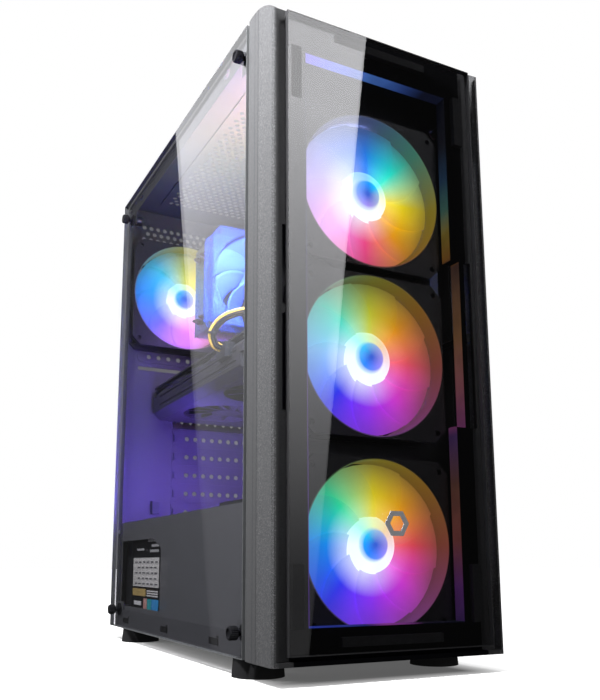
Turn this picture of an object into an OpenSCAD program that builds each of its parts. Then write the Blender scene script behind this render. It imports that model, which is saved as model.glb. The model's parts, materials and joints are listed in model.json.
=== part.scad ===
// Desktop computer tower with a glass front, a glass side window and lit fans.
// Inside case_frame() X is 0 at the middle of the case, Y is 0 at the face of the front glass and
// grows towards the back panel, and Z is 0 at the floor. The window is on the -X side.

/* [Case] */
// Width over the window and the right side panel
case_w = 182; // [176:1:230]
// Depth from the front glass to the back panel
case_d = 382; // [376:1:470]
// Height from the floor to the top panel
case_h = 472; // [466:1:580]
// Thickness of the steel sheet
sheet = 0.8; // [0.6:0.05:1.2]
// Height of the steel flanges that the window lies on
flange_h = 17; // [14:1:20]
// Height of the rubber feet
foot_h = 12; // [8:1:20]
// Diameter of a foot where it meets the floor
foot_d = 36; // [28:1:36]

/* [Front panel] */
// Depth of the front bezel
bezel_d = 42; // [40:1:60]
// Radius of the bezel's rounded top edge
crown_r = 55; // [48:1:80]
// Wall of the bezel
bezel_wall = 3; // [2:0.5:4]
// Width of the front glass
front_glass_w = 160; // [150:1:164]
// Width of the opening behind the front glass
opening_w = 124; // [122:1:134]

/* [Glass and screws] */
// Thickness of both glass panes
glass_t = 4; // [3:0.1:5]
// Thickness of the rubber washers behind the window
washer_t = 1.5; // [1:0.1:2.5]
// Diameter of a thumbscrew's head
thumb_d = 9.5; // [8:0.5:14]
// Height of a thumbscrew's head
thumb_h = 6.5; // [4:0.5:9]

/* [Fans] */
// Side of a case fan
fan_size = 120; // [110:1:122]
// Thickness of every framed fan
fan_t = 25; // [20:0.5:31]
// Height of the lowest front fan's centre above the bottom pan
fan_low = 75; // [70:1:80]
// Gap above the lowest front fan
fan_gap_low = 14; // [6:1:20]
// Gap above the middle front fan
fan_gap_high = 6; // [2:1:12]
// Number of blades on a case fan
blade_count = 9; // [5:1:11]

/* [Motherboard] */
// Side of the square motherboard
board_size = 244; // [220:1:244]
// Thickness of the circuit boards
board_t = 1.6; // [1:0.1:2]
// Height of the brass standoffs
standoff_h = 6; // [5:0.5:8]
// Length of the processor cooler above the board
cooler_l = 122; // [100:1:126]
// Side of the cooler's fan
cooler_fan = 96; // [80:1:100]

/* [Graphics card] */
// Length of the card
card_l = 240; // [200:1:250]
// Height of the card above the motherboard
card_h = 131; // [115:1:136]
// Thickness of the card's shroud
card_t = 32; // [28:1:34]

/* [Power supply] */
// Width of the power supply
psu_w = 150; // [140:1:152]
// Height of the power supply
psu_h = 86; // [80:1:88]
// Length of the power supply
psu_l = 140; // [125:1:165]

/* [Hidden] */
$fn = 48;

// Named gaps
fit_gap = 0.3;
panel_gap = 0.5;
seam = 2;
badge_t = 0.6;
badge_r = 9.5;
rear_thumb_h = 5.5;

// Planes of the case
left_x = -case_w / 2;
right_x = case_w / 2;
glass_in_x = left_x + glass_t;
wall_l = glass_in_x + washer_t;
wall_r = right_x - sheet - panel_gap;
plate_front_y = bezel_d + seam;
side_y = plate_front_y + 1.5;
back_y = case_d;
back_in_y = back_y - sheet;
pan_in_z = foot_h + sheet;
top_in_z = case_h - sheet;
tray_x = wall_r - 5.7;

// Window and its screws
window_z0 = foot_h + panel_gap;
window_z1 = case_h - panel_gap;
stud_rear_y = back_y - 17.5;
stud_front_y = side_y + 8.5;
stud_low_z = foot_h + flange_h;
stud_high_z = case_h - 22.5;
thread_r = 2;
stud_l = 9;
stud_tab = 8;

// Right side panel: its rear screws and the hooks that slide in the slots
panel_screw_x = wall_r - 4.5;
panel_screw_zs = [foot_h + 60, case_h - 60];
hook_ys = [for (f = [0.1, 0.46, 0.82]) side_y + f * (back_y - side_y)];
hook_travel = 18;

// Front glass, bezel and the opening behind it
front_glass_z0 = foot_h + 6;
front_glass_z1 = case_h - 15.5;
bezel_plate_y = glass_t + 4;
bezel_plate_t = 3;
opening_z0 = foot_h + 22;
opening_z1 = case_h - 38;
fan_front_y = plate_front_y - fan_t;
tunnel_y = fan_front_y - 1.5;
vent_z0 = foot_h + 160;
vent_z1 = foot_h + 288;
vent_x = front_glass_w / 2 - 2.8;
baffle_w = 8;
snap_r = 3.5;
snap_zs = [foot_h + 42, foot_h + 230, case_h - 46];

// Fans
fan_half = fan_size / 2;
front_fan_zs = [
    foot_h + fan_low,
    foot_h + fan_low + fan_size + fan_gap_low,
    foot_h + fan_low + 2 * fan_size + fan_gap_low + fan_gap_high
];
rear_fan_x = wall_l + sheet + fit_gap + fan_half;
rear_fan_z = case_h - 45 - fan_half;
bar_z = rear_fan_z - fan_half - 13;
pin_r = 1.5;
shaft_gap = 0.05;

// Motherboard and what stands on it
board_x = tray_x - standoff_h;
face_x = board_x - board_t;
board_z1 = case_h - 50;
board_z0 = board_z1 - board_size;
board_y1 = back_in_y - 1.2;
board_y0 = board_y1 - board_size;
cpu_y = board_y1 - 123;
cpu_z = board_z1 - 80;
io_z0 = board_z1 - 164;
io_z1 = board_z1 - 5;
io_x0 = face_x + 2 - 44.4;
io_x1 = face_x + 2;
slot_pitch = 20.32;
slot_z = board_z1 - 170;
slot_x0 = face_x - 105.4;
slot_x1 = face_x + 2;
slot_count = 7;
card_slots = 2;

// Cooler
fin_y0 = cpu_y - 21;
fin_y1 = cpu_y + 21;
fin_h = 90;
cooler_tip_x = face_x - cooler_l - 4;
fin_x0 = face_x - cooler_l + 3;
fin_x1 = face_x - 37;
pipe_r = 3;
pipe_ys = [cpu_y - 8, cpu_y + 8];
pipe_dz = 32;
pipe_base_x = face_x - 16;

// Graphics card
card_pcb_z = slot_z + 8;
card_x0 = face_x - card_h;
card_x1 = face_x - 15;
card_y1 = back_in_y - 11;
card_y0 = card_y1 - card_l;
shroud_z1 = card_pcb_z - 2;
shroud_z0 = card_pcb_z - card_t;
card_fan_r = 42;
card_fan_x = (card_x0 + card_x1) / 2;
card_fan_ys = [(card_y0 + card_y1) / 2 - 54, (card_y0 + card_y1) / 2 + 54];

// Power supply, shroud and filter
shroud_top_z = foot_h + 104;
psu_x0 = wall_l + sheet + stud_l + 0.4;
psu_z0 = pan_in_z + 2.4;
psu_y0 = back_in_y - psu_l;
psu_x = psu_x0 + psu_w / 2;
psu_fan_r = 56;
psu_fan_y = psu_y0 + psu_l / 2 - 4;
filter_w = 96;
filter_t = 2.6;
inlet_x = psu_x0 + 30;
inlet_z = psu_z0 + psu_h / 2;
switch_x = inlet_x + 30;
switch_tilt = 7;

// Top controls
io_y = side_y + 16;
power_x = 60;
reset_x = 42;
usb_xs = [-12, 6, 24];
jack_xs = [-30, -42];

// Cable routes, from plug to plug
graphics_cable_r = 4;
graphics_route = [
    [-62, 160, 254], [-68, 160, 257], [-70, 158, 268], [-60, 150, 280], [-38, 138, 284],
    [-5, 124, 276], [30, 112, 255], [50, 104, 225], [56, 100, 185], [56, 100, 145],
    [56, 102, 110], [54, 112, 80], [48, 140, 64], [40, 180, 60], [38, 215, 60], [38, 241, 60]
];
board_cable_r = 6;
board_route = [
    [58, 142, 326], [48, 140, 326], [40, 128, 320], [42, 112, 304], [52, 98, 275],
    [66, 88, 235], [72, 84, 190], [72, 84, 145], [72, 86, 110], [68, 100, 76],
    [60, 140, 52], [56, 190, 44], [56, 241, 44]
];

steel = [0.23, 0.235, 0.25];
dark = [0.06, 0.06, 0.07];
plastic = [0.27, 0.27, 0.29];

module case_frame() {
    translate([thumb_h / 2, (badge_t - back_y - rear_thumb_h) / 2, 0]) children();
}

module block(x0, y0, z0, x1, y1, z1) {
    translate([x0, y0, z0]) cube([x1 - x0, y1 - y0, z1 - z0]);
}

module rod_x(x0, x1, y, z, r) {
    translate([x0, y, z]) rotate([0, 90, 0]) cylinder(h = x1 - x0, r = r);
}

module rod_y(x, y0, y1, z, r) {
    translate([x, y1, z]) rotate([90, 0, 0]) cylinder(h = y1 - y0, r = r);
}

module rod_z(x, y, z0, z1, r) {
    translate([x, y, z0]) cylinder(h = z1 - z0, r = r);
}

// A flat sheet across X: the 2D shape's axes become Y and Z
module sheet_x(x, t) {
    translate([x, 0, 0]) rotate([90, 0, 90]) linear_extrude(t) children();
}

// A flat sheet across Y: the 2D shape's axes become X and Z
module sheet_y(y, t) {
    translate([0, y + t, 0]) rotate([90, 0, 0]) linear_extrude(t) children();
}

// A flat sheet across Z
module sheet_z(z, t) {
    translate([0, 0, z]) linear_extrude(t) children();
}

module area(a0, b0, a1, b1) {
    translate([a0, b0]) square([a1 - a0, b1 - b0]);
}

module round_area(a0, b0, a1, b1, r) {
    area(a0 + r, b0, a1 - r, b1);
    area(a0, b0 + r, a1, b1 - r);
    for (a = [a0 + r, a1 - r], b = [b0 + r, b1 - r]) translate([a, b]) circle(r);
}

// Staggered rows of vent holes that fill a rectangle
module vent_rows(a0, b0, a1, b1, pitch, r) {
    rows = floor((b1 - b0) / (pitch * 0.87));
    columns = floor((a1 - a0) / pitch);
    for (j = [0:rows], i = [0:columns - (j % 2)])
        translate([a0 + (i + (j % 2) / 2) * pitch, b0 + j * pitch * 0.87]) circle(r, $fn = 16);
}

module keyhole(y, z) {
    translate([y, z]) circle(3.6);
    area(y, z - 1.9, y + 9, z + 1.9);
}

// ---- Fans, drawn round the Z axis with the intake at z = 0 ----

module fan_plate(size) {
    half = size / 2;
    cut = size * 0.075;
    polygon([
        [-half + cut, -half], [half - cut, -half], [half, -half + cut], [half, half - cut],
        [half - cut, half], [-half + cut, half], [-half, half - cut], [-half, -half + cut]
    ]);
}

module fan_frame(size) {
    ring_r = size / 2;
    hole = size * 0.4375;
    flange_t = 4;
    difference() {
        union() {
            linear_extrude(flange_t) fan_plate(size);
            translate([0, 0, fan_t - flange_t]) linear_extrude(flange_t) fan_plate(size);
            cylinder(h = fan_t, r = ring_r, $fn = 96);
        }
        translate([0, 0, -1]) cylinder(h = fan_t + 2, r = ring_r - 1.6, $fn = 96);
        for (x = [-hole, hole], y = [-hole, hole])
            translate([x, y, -1]) cylinder(h = fan_t + 2, r = 2.2);
    }
    translate([0, 0, fan_t - 3]) linear_extrude(3) {
        circle(fan_hub(size));
        for (a = [45:90:315]) rotate(a) area(fan_hub(size) - 2, -2, ring_r - 1, 2);
    }
    translate([0, 0, 6]) cylinder(h = fan_t - 8, r = pin_r);
}

function fan_hub(size) = size * 0.172;

// Blades are flat vanes set at an angle between the hub and the tip circle
module vane_rotor(hub_r, tip_r, z0, z1, count) {
    difference() {
        union() {
            translate([0, 0, z0]) cylinder(h = z1 - z0, r = hub_r);
            for (i = [0:count - 1]) rotate(i * 360 / count) intersection() {
                difference() {
                    translate([0, 0, z0 + 1]) cylinder(h = z1 - z0 - 2, r = tip_r, $fn = 96);
                    translate([0, 0, z0]) cylinder(h = z1 - z0, r = hub_r - 1);
                }
                translate([tip_r / 2, 0, (z0 + z1) / 2]) rotate([52, 0, 0])
                    cube([tip_r * 1.2, 1.8, 60], center = true);
            }
        }
        translate([0, 0, z0 + 3]) cylinder(h = z1 - z0, r = pin_r + shaft_gap);
    }
}

module fan_rotor(size) {
    vane_rotor(fan_hub(size), size / 2 - 3.2, 1, fan_t - 3.6, blade_count);
}

module at_front_fan(n) {
    translate([0, fan_front_y, front_fan_zs[n]]) rotate([-90, 0, 0]) children();
}

module at_rear_fan() {
    translate([rear_fan_x, back_in_y - fan_t, rear_fan_z]) rotate([-90, 0, 0]) children();
}

module at_cooler_fan() {
    translate([(fin_x0 + fin_x1) / 2, fin_y0 - fan_t, cpu_z]) rotate([-90, 0, 0]) children();
}

module at_card_fan(n) {
    translate([card_fan_x, card_fan_ys[n], shroud_z0]) children();
}

// ---- Steel chassis ----

module bottom_pan() color(steel) case_frame() {
    y0 = plate_front_y + sheet;
    sheet_z(foot_h, sheet) difference() {
        area(wall_l, y0, wall_r, back_in_y);
        for (i = [-5:5]) area(psu_x - 44, psu_fan_y + i * 9 - 2, psu_x + 44, psu_fan_y + i * 9 + 2);
    }
    sheet_x(wall_l, sheet) difference() {
        union() {
            area(y0, foot_h + sheet, back_in_y, foot_h + flange_h);
            for (y = [stud_front_y, stud_rear_y - 5]) area(y - 7, foot_h + sheet, y + 12, stud_low_z + stud_tab);
        }
        for (y = [stud_front_y + 47, (stud_front_y + stud_rear_y) / 2 + 6, stud_rear_y - 32])
            keyhole(y, foot_h + 7.6);
        for (y = [stud_front_y, stud_rear_y]) translate([y, stud_low_z]) circle(thread_r + 0.6);
    }
    sheet_x(wall_r - sheet, sheet) difference() {
        area(y0, foot_h + sheet, back_in_y, foot_h + flange_h);
        hook_slots(foot_h + 9);
    }
    filter_rails();
}

module filter_rails() {
    rail_z = foot_h - filter_t - 1.4;
    inner = filter_w / 2 + fit_gap;
    for (s = [-1, 1]) {
        block(min(s * inner, s * (inner + 1.2)), psu_y0 - 4, rail_z, max(s * inner, s * (inner + 1.2)),
            back_in_y, foot_h);
        block(min(s * (inner - 2), s * inner), psu_y0 - 4, rail_z, max(s * (inner - 2), s * inner),
            back_in_y, rail_z + 0.8);
    }
    block(-inner - 1.2, psu_y0 - 5.2, rail_z, inner + 1.2, psu_y0 - 4, foot_h);
}

module hook_slots(z) {
    for (y = hook_ys) area(y - 12, z - 2.4, y + hook_travel + 8, z + 2.4);
}

module hex_vent(x, z, r) {
    pitch = 9;
    for (i = [-7:7], j = [-7:7])
        if (norm([(i + (j % 2) / 2) * pitch, j * pitch * 0.87]) < r - 4)
            translate([x + (i + (j % 2) / 2) * pitch, z + j * pitch * 0.87]) rotate(30) circle(4.3, $fn = 6);
}

module rear_panel() color(steel) case_frame() {
    difference() {
        union() {
            sheet_y(back_in_y, sheet) area(wall_l, foot_h, wall_r, top_in_z);
            // embossed strengthening fields on the inner face
            sheet_y(back_in_y - 1, 1) {
                round_area(wall_l + 4, shroud_top_z + 6, slot_x0 - 16, bar_z - 16, 4);
                round_area(wall_l + 14, bar_z, rear_fan_x + 30, bar_z + 12, 5.9);
            }
        }
        sheet_y(back_in_y - 2, sheet + 3) {
            hex_vent(rear_fan_x, rear_fan_z, fan_half - 1);
            for (x = [-1, 1], z = [-1, 1])
                translate([rear_fan_x + x * fan_size * 0.4375, rear_fan_z + z * fan_size * 0.4375]) circle(2.2);
            area(io_x0, io_z0, io_x1, io_z1);
            for (i = [0:slot_count - 1])
                area(slot_x0 + 7, slot_z - i * slot_pitch - 7.2, slot_x1 - 4, slot_z - i * slot_pitch + 7.2);
            for (i = [0:4]) translate([wall_l + 27 + i * 11.4, bar_z + 6.5]) circle(2.6);
            round_area(wall_l + 15, bar_z - 9, rear_fan_x + 26, bar_z - 5, 1.9);
            area(psu_x0 + 6, psu_z0 + 4, psu_x0 + psu_w - 6, psu_z0 + psu_h - 4);
            vent_rows(wall_l + 18, case_h - 34, wall_r - 14, case_h - 16, 8, 2.4);
            for (z = panel_screw_zs) translate([panel_screw_x, z]) circle(2.2);
        }
    }
    sheet_x(wall_l, sheet) area(back_in_y - 13, stud_low_z + stud_tab, back_in_y, stud_high_z - stud_tab);
}

module top_panel() color(steel) case_frame() {
    vent_x0 = wall_l + 38;
    difference() {
        union() {
            sheet_z(top_in_z, sheet) area(wall_l, plate_front_y, wall_r, back_y);
            // the bead that stiffens the window edge of the panel
            sheet_z(top_in_z - 1.2, 1.2) round_area(wall_l + 28, side_y + 50, wall_l + 33, back_in_y - 24, 2.4);
        }
        sheet_z(top_in_z - 3, sheet + 4) {
            area(jack_xs[1] - 8 - fit_gap, io_y - 7 - fit_gap, power_x + 10 + fit_gap, io_y + 7 + fit_gap);
            vent_rows(vent_x0, side_y + 55, wall_r - 26, back_in_y - 28, 7.5, 2.3);
        }
    }
    sheet_x(wall_l, sheet) difference() {
        union() {
            area(plate_front_y + sheet, top_in_z - flange_h, back_in_y, top_in_z);
            for (y = [stud_front_y, stud_rear_y - 5]) area(y - 7, stud_high_z - stud_tab, y + 12, top_in_z);
        }
        for (y = [stud_front_y + 40, stud_rear_y - 32]) keyhole(y, case_h - 9);
        for (y = [stud_front_y, stud_rear_y]) translate([y, stud_high_z]) circle(thread_r + 0.6);
    }
    sheet_x(wall_r - sheet, sheet) difference() {
        area(plate_front_y + sheet, top_in_z - flange_h, back_in_y, top_in_z);
        hook_slots(case_h - 9);
    }
}

module front_plate() color(steel) case_frame() sheet_y(plate_front_y, sheet) difference() {
    area(wall_l, foot_h, wall_r, top_in_z);
    for (z = front_fan_zs) {
        translate([0, z]) circle(fan_half - 3, $fn = 96);
        for (x = [-1, 1], s = [-1, 1])
            translate([x * fan_size * 0.4375, z + s * fan_size * 0.4375]) circle(2.2);
    }
    for (x = [left_x + 12, right_x - 12], z = snap_zs) translate([x, z]) circle(snap_r + 0.7);
    for (s = [-1, 1]) round_area(s * 74 - 4, front_fan_zs[1] + 30, s * 74 + 4, front_fan_zs[1] + 90, 3.9);
}

module motherboard_tray() color(steel) case_frame() sheet_x(tray_x, sheet) difference() {
    area(plate_front_y + 8, shroud_top_z, back_in_y, top_in_z);
    round_area(cpu_y - 34, cpu_z - 40, cpu_y + 34, cpu_z + 40, 5);
    for (z = [board_z0 + 20, board_z0 + 100, board_z0 + 180])
        round_area(board_y0 - 38, z, board_y0 - 12, z + 58, 6);
    round_area(board_y1 - 60, board_z1 + 8, board_y1 - 10, board_z1 + 28, 6);
    for (z = panel_screw_zs) area(back_in_y - 9, z - 6, back_in_y + 1, z + 6);
}

module psu_shroud() color(steel) case_frame() {
    y0 = plate_front_y + sheet;
    x0 = wall_l + sheet + 0.1;
    x1 = wall_r - sheet;
    sheet_z(shroud_top_z - sheet, sheet) difference() {
        area(x0, y0, x1, back_in_y);
        round_area(44, y0 + 26, x1 - 8, y0 + 78, 5);
        for (i = [0:11]) round_area(psu_x - 40, psu_y0 + 10 + i * 9, psu_x + 34, psu_y0 + 14 + i * 9, 1.9);
    }
    sheet_x(x0, sheet) difference() {
        area(y0, pan_in_z, back_in_y, shroud_top_z - sheet);
        polygon([
            [psu_y0 - 2, foot_h + 21], [back_in_y - 14, foot_h + 21], [back_in_y - 14, shroud_top_z - 19],
            [psu_y0 + 22, shroud_top_z - 19], [psu_y0 - 2, shroud_top_z - 28]
        ]);
        for (y = [stud_front_y, stud_rear_y]) translate([y, stud_low_z]) circle(5.5);
    }
}

module case_feet() color(dark) case_frame() {
    for (x = [-1, 1], y = [plate_front_y + 15, back_y - 50]) translate([x * (right_x - foot_d / 2), y, 0])
        difference() {
            cylinder(h = foot_h, r1 = foot_d / 2, r2 = foot_d / 2 - 1);
            translate([0, 0, -1]) cylinder(h = 4, r = 4);
        }
}

module slot_covers() color([0.3, 0.3, 0.33]) case_frame() {
    for (i = [card_slots:slot_count - 1]) sheet_y(back_in_y - 1, 1) difference() {
        area(slot_x0, slot_z - i * slot_pitch - 9.2, slot_x1, slot_z - i * slot_pitch + 9.2);
        for (k = [0:7]) translate([slot_x0 + 17 + k * 10, slot_z - i * slot_pitch]) circle(2.5, $fn = 24);
    }
}

module io_shield() color([0.75, 0.76, 0.78]) case_frame() {
    difference() {
        union() {
            sheet_y(back_in_y, 0.6) area(io_x0 + 0.2, io_z0 + 0.2, io_x1 - 0.2, io_z1 - 0.2);
        }
        board_port_blocks(0.2, 0);
    }
}

module window_studs() color([0.7, 0.7, 0.72]) case_frame() {
    for (y = [stud_front_y, stud_rear_y], z = [stud_low_z, stud_high_z]) difference() {
        rod_x(wall_l + sheet, wall_l + sheet + stud_l, y, z, 4.5);
        rod_x(wall_l + sheet - 1, wall_l + sheet + stud_l - 1, y, z, thread_r);
    }
}

// ---- Controls and sockets on the top panel ----

module io_module() color(dark) case_frame() {
    x0 = jack_xs[1] - 8;
    x1 = power_x + 10;
    difference() {
        union() {
            block(x0, io_y - 7, case_h - 20, x1, io_y + 7, case_h);
            block(x0 - 2, io_y - 9, case_h, x1 + 2, io_y + 9, case_h + 1.4);
        }
        rod_z(power_x, io_y, case_h - 9, case_h + 2, 6.8);
        rod_z(reset_x, io_y, case_h - 9, case_h + 2, 3.3);
        for (x = usb_xs) block(x - 6.7, io_y - 3, case_h - 13, x + 6.7, io_y + 3, case_h + 2);
        for (x = jack_xs) rod_z(x, io_y, case_h - 15, case_h + 2, 3.6);
    }
}

module usb_ports() color([0.8, 0.8, 0.82]) case_frame() {
    for (x = usb_xs) {
        difference() {
            block(x - 6.6, io_y - 2.9, case_h - 13, x + 6.6, io_y + 2.9, case_h + 1.4);
            block(x - 6.25, io_y - 2.55, case_h - 12, x + 6.25, io_y + 2.55, case_h + 2);
        }
        block(x - 5.6, io_y + 0.2, case_h - 12, x + 5.6, io_y + 2.1, case_h - 1);
    }
}

module audio_jacks() color([0.1, 0.1, 0.1]) case_frame() {
    for (x = jack_xs) difference() {
        rod_z(x, io_y, case_h - 15, case_h + 1.4, 3.4);
        rod_z(x, io_y, case_h - 13.5, case_h + 2, 1.8);
    }
}

module power_button() color([0.5, 0.5, 0.53]) case_frame() difference() {
    rod_z(power_x, io_y, case_h - 5, case_h + 3, 6.4);
    rod_z(power_x, io_y, case_h + 2.4, case_h + 4, 5);
}

module reset_button() color([0.5, 0.5, 0.53]) case_frame() rod_z(reset_x, io_y, case_h - 5, case_h + 2.6, 2.9);

// ---- Front panel, which pulls off forwards ----

// The bezel seen from the side, with its rounded crown
module bezel_side(back, inset) {
    intersection() {
        area(1.5 + inset, foot_h + inset / 2, back, case_h - inset);
        union() {
            translate([bezel_d - 2, case_h - crown_r]) circle(crown_r - inset, $fn = 96);
            area(0, 0, bezel_d + 5, case_h - crown_r);
        }
    }
}

// The bezel seen from above: each wing has a shallow ridge along its outer face
module bezel_plan() {
    polygon([
        [left_x + 1.5, 1.5], [left_x + 0.4, 3.5], [left_x + 0.3, 18], [left_x, 22], [left_x + 0.6, bezel_d],
        [right_x - 0.6, bezel_d], [right_x, 22], [right_x - 0.3, 18], [right_x - 0.4, 3.5], [right_x - 1.5, 1.5]
    ]);
}

module front_bezel() color(plastic) case_frame() {
    half_w = opening_w / 2;
    channel_x = right_x - bezel_wall;
    difference() {
        intersection() {
            sheet_x(left_x, case_w) bezel_side(bezel_d, 0);
            translate([0, 0, foot_h - 1]) linear_extrude(case_h) bezel_plan();
        }
        // hollow behind the front plate
        sheet_x(left_x + bezel_wall, case_w - 2 * bezel_wall) intersection() {
            bezel_side(bezel_d + 1, bezel_wall);
            area(bezel_plate_y + bezel_plate_t, 0, bezel_d + 1, case_h);
        }
        // front recess for the glass and the channels beside it
        block(-channel_x, -1, foot_h + 3, channel_x, bezel_plate_y, case_h + 1);
        // opening behind the glass
        block(-half_w, 0, opening_z0, half_w, bezel_plate_y + bezel_plate_t + 1, opening_z1);
        // air inlets beside the glass
        for (s = [-1, 1]) block(s * vent_x - 3.2, 0, vent_z0, s * vent_x + 3.2, bezel_plate_y + bezel_plate_t + 1, vent_z1);
        block(half_w - 1, 0, vent_z0, half_w + baffle_w, bezel_plate_y + bezel_plate_t + 1, vent_z1);
    }
    // tunnel walls from the plate back towards the fans
    difference() {
        block(-half_w - 2, bezel_plate_y + bezel_plate_t, opening_z0 - 2, half_w + 2, tunnel_y, opening_z1 + 2);
        block(-half_w, 0, opening_z0, half_w, bezel_d, opening_z1);
        block(half_w - 1, 0, vent_z0, half_w + 3, bezel_d, vent_z1);
    }
    difference() {
        block(half_w, bezel_plate_y + bezel_plate_t, vent_z0 - 2, half_w + baffle_w + 2, tunnel_y, vent_z1 + 2);
        block(half_w - 1, 0, vent_z0, half_w + baffle_w, bezel_d, vent_z1);
    }
    for (x = [left_x + 12, right_x - 12], z = snap_zs) {
        rod_y(x, bezel_plate_y + bezel_plate_t, bezel_d + 8, z, snap_r);
    }
}

module front_glass() color([0.05, 0.05, 0.06, 0.6]) case_frame()
    block(-front_glass_w / 2, 0, front_glass_z0, front_glass_w / 2, glass_t, front_glass_z1);

module front_glass_pads() color(dark) case_frame() {
    edge = (front_glass_w + opening_w) / 4;
    for (s = [-1, 1], z = [opening_z0 + 20, opening_z1 - 20])
        block(s * edge - 4, glass_t, z - 20, s * edge + 4, bezel_plate_y, z + 20);
    for (z = [front_glass_z0 + 4, front_glass_z1 - 10]) block(-40, glass_t, z, 40, bezel_plate_y, z + 6);
}

// a plain hexagonal ring
module glass_badge() color([0.8, 0.8, 0.82]) case_frame()
    translate([1, 0, foot_h + 88.5]) rotate([90, 0, 0]) linear_extrude(badge_t) difference() {
        circle(badge_r, $fn = 6);
        circle(badge_r * 0.6, $fn = 6);
    }

// ---- Side window, which lifts off once its thumbscrews are out ----

module side_window() color([0.3, 0.3, 0.32, 0.3]) case_frame() sheet_x(left_x, glass_t) difference() {
    area(side_y, window_z0, back_y - panel_gap, window_z1);
    for (y = [stud_front_y, stud_rear_y], z = [stud_low_z, stud_high_z]) translate([y, z]) circle(3);
}

module window_washers() color(dark) case_frame() {
    for (y = [stud_front_y, stud_rear_y], z = [stud_low_z, stud_high_z]) difference() {
        rod_x(glass_in_x, wall_l, y, z, 6);
        rod_x(glass_in_x - 1, wall_l + 1, y, z, 3);
    }
}

module thumbscrew(length) {
    difference() {
        cylinder(h = thumb_h, r = thumb_d / 2);
        for (a = [0:20:340]) rotate(a) translate([thumb_d / 2 + 0.5, 0, 1]) cylinder(h = thumb_h, r = 0.9, $fn = 16);
    }
    translate([0, 0, -length]) cylinder(h = length, r = thread_r - 0.1);
}

module window_thumbscrews() color(dark) case_frame() {
    for (y = [stud_front_y, stud_rear_y], z = [stud_low_z, stud_high_z])
        translate([left_x, y, z]) rotate([0, -90, 0]) thumbscrew(glass_t + washer_t + sheet + stud_l - 3);
}

// ---- Right side panel, which slides back off its hooks ----

module right_side_panel() color(steel) case_frame() {
    z0 = foot_h + panel_gap;
    z1 = case_h - panel_gap;
    block(right_x - sheet, side_y, z0, right_x, back_y + sheet, z1);
    sheet_y(back_y, sheet) difference() {
        area(wall_r - 9, foot_h + 30, right_x - sheet, case_h - 30);
        for (z = panel_screw_zs) translate([panel_screw_x, z]) circle(2.6);
        area(wall_r - 10, io_z0 - 4, right_x - sheet - 6, io_z1 + 4);
    }
    for (y = hook_ys, z = [foot_h + 9, case_h - 9]) {
        block(wall_r - sheet - 1.6, y - 8, z - 1.5, wall_r - sheet - 0.6, y + 3, z + 1.5);
        block(wall_r - sheet - 1.6, y - 3, z - 1.5, right_x - sheet, y + 3, z + 1.5);
    }
}

module panel_thumbscrews() color(dark) case_frame() {
    for (z = panel_screw_zs) translate([panel_screw_x, back_y + sheet, z]) rotate([-90, 0, 0]) {
        difference() {
            cylinder(h = rear_thumb_h - sheet, r = 5);
            for (a = [0:24:336]) rotate(a) translate([5.4, 0, 1]) cylinder(h = 9, r = 0.8, $fn = 16);
        }
        translate([0, 0, -6]) cylinder(h = 6, r = thread_r);
    }
}

// ---- Case fans ----

module front_fan_frame_low() color(dark) case_frame() at_front_fan(0) fan_frame(fan_size);
module front_fan_frame_middle() color(dark) case_frame() at_front_fan(1) fan_frame(fan_size);
module front_fan_frame_high() color(dark) case_frame() at_front_fan(2) fan_frame(fan_size);
module front_fan_rotor_low() color([0.5, 0.5, 1]) case_frame() at_front_fan(0) fan_rotor(fan_size);
module front_fan_rotor_middle() color([0.4, 0.8, 1]) case_frame() at_front_fan(1) fan_rotor(fan_size);
module front_fan_rotor_high() color([1, 0.7, 0.3]) case_frame() at_front_fan(2) fan_rotor(fan_size);
module rear_fan_frame() color(dark) case_frame() at_rear_fan() fan_frame(fan_size);
module rear_fan_rotor() color([0.3, 0.6, 1]) case_frame() at_rear_fan() fan_rotor(fan_size);

// Screws run through the steel into the corner holes of the fan frames
module fan_screws() color([0.1, 0.1, 0.1]) case_frame() {
    reach = fan_size * 0.4375;
    for (z = front_fan_zs, x = [-1, 1], s = [-1, 1]) {
        rod_y(x * reach, plate_front_y + sheet, plate_front_y + sheet + 2.2, z + s * reach, 4);
        rod_y(x * reach, plate_front_y - 6, plate_front_y + sheet, z + s * reach, 2);
    }
    for (x = [-1, 1], s = [-1, 1]) {
        rod_y(rear_fan_x + x * reach, back_y, back_y + 2.2, rear_fan_z + s * reach, 4);
        rod_y(rear_fan_x + x * reach, back_in_y - 6, back_y, rear_fan_z + s * reach, 2);
    }
}

// ---- Motherboard ----

standoff_ys = [board_y0 + 10, board_y0 + 122, board_y1 - 26];
standoff_zs = [board_z0 + 12, board_z1 - 152, board_z1 - 10];

module motherboard() color([0.05, 0.07, 0.09]) case_frame() sheet_x(face_x, board_t) difference() {
    area(board_y0, board_z0, board_y1, board_z1);
    for (y = standoff_ys, z = standoff_zs) translate([y, z]) circle(2);
}

module board_standoffs() color([0.8, 0.65, 0.3]) case_frame() {
    for (y = standoff_ys, z = standoff_zs) {
        translate([board_x, y, z]) rotate([0, 90, 0]) cylinder(h = standoff_h, r = 3, $fn = 6);
        rod_x(face_x - 2, board_x, y, z, 1.8);
        rod_x(face_x - 3.4, face_x, y, z, 3.2);
    }
}

// Rear sockets: height along Z, reach from the board, and how far each stands from io_z0
port_heights = [13, 14, 15, 16, 16, 27];
port_reaches = [13, 27, 16, 27, 31, 31];

function port_z(i) = io_z0 + 10 + (i == 0 ? 0 : port_z_sum(i - 1));
function port_z_sum(i) = port_heights[i] + 8 + (i == 0 ? 0 : port_z_sum(i - 1));

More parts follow.
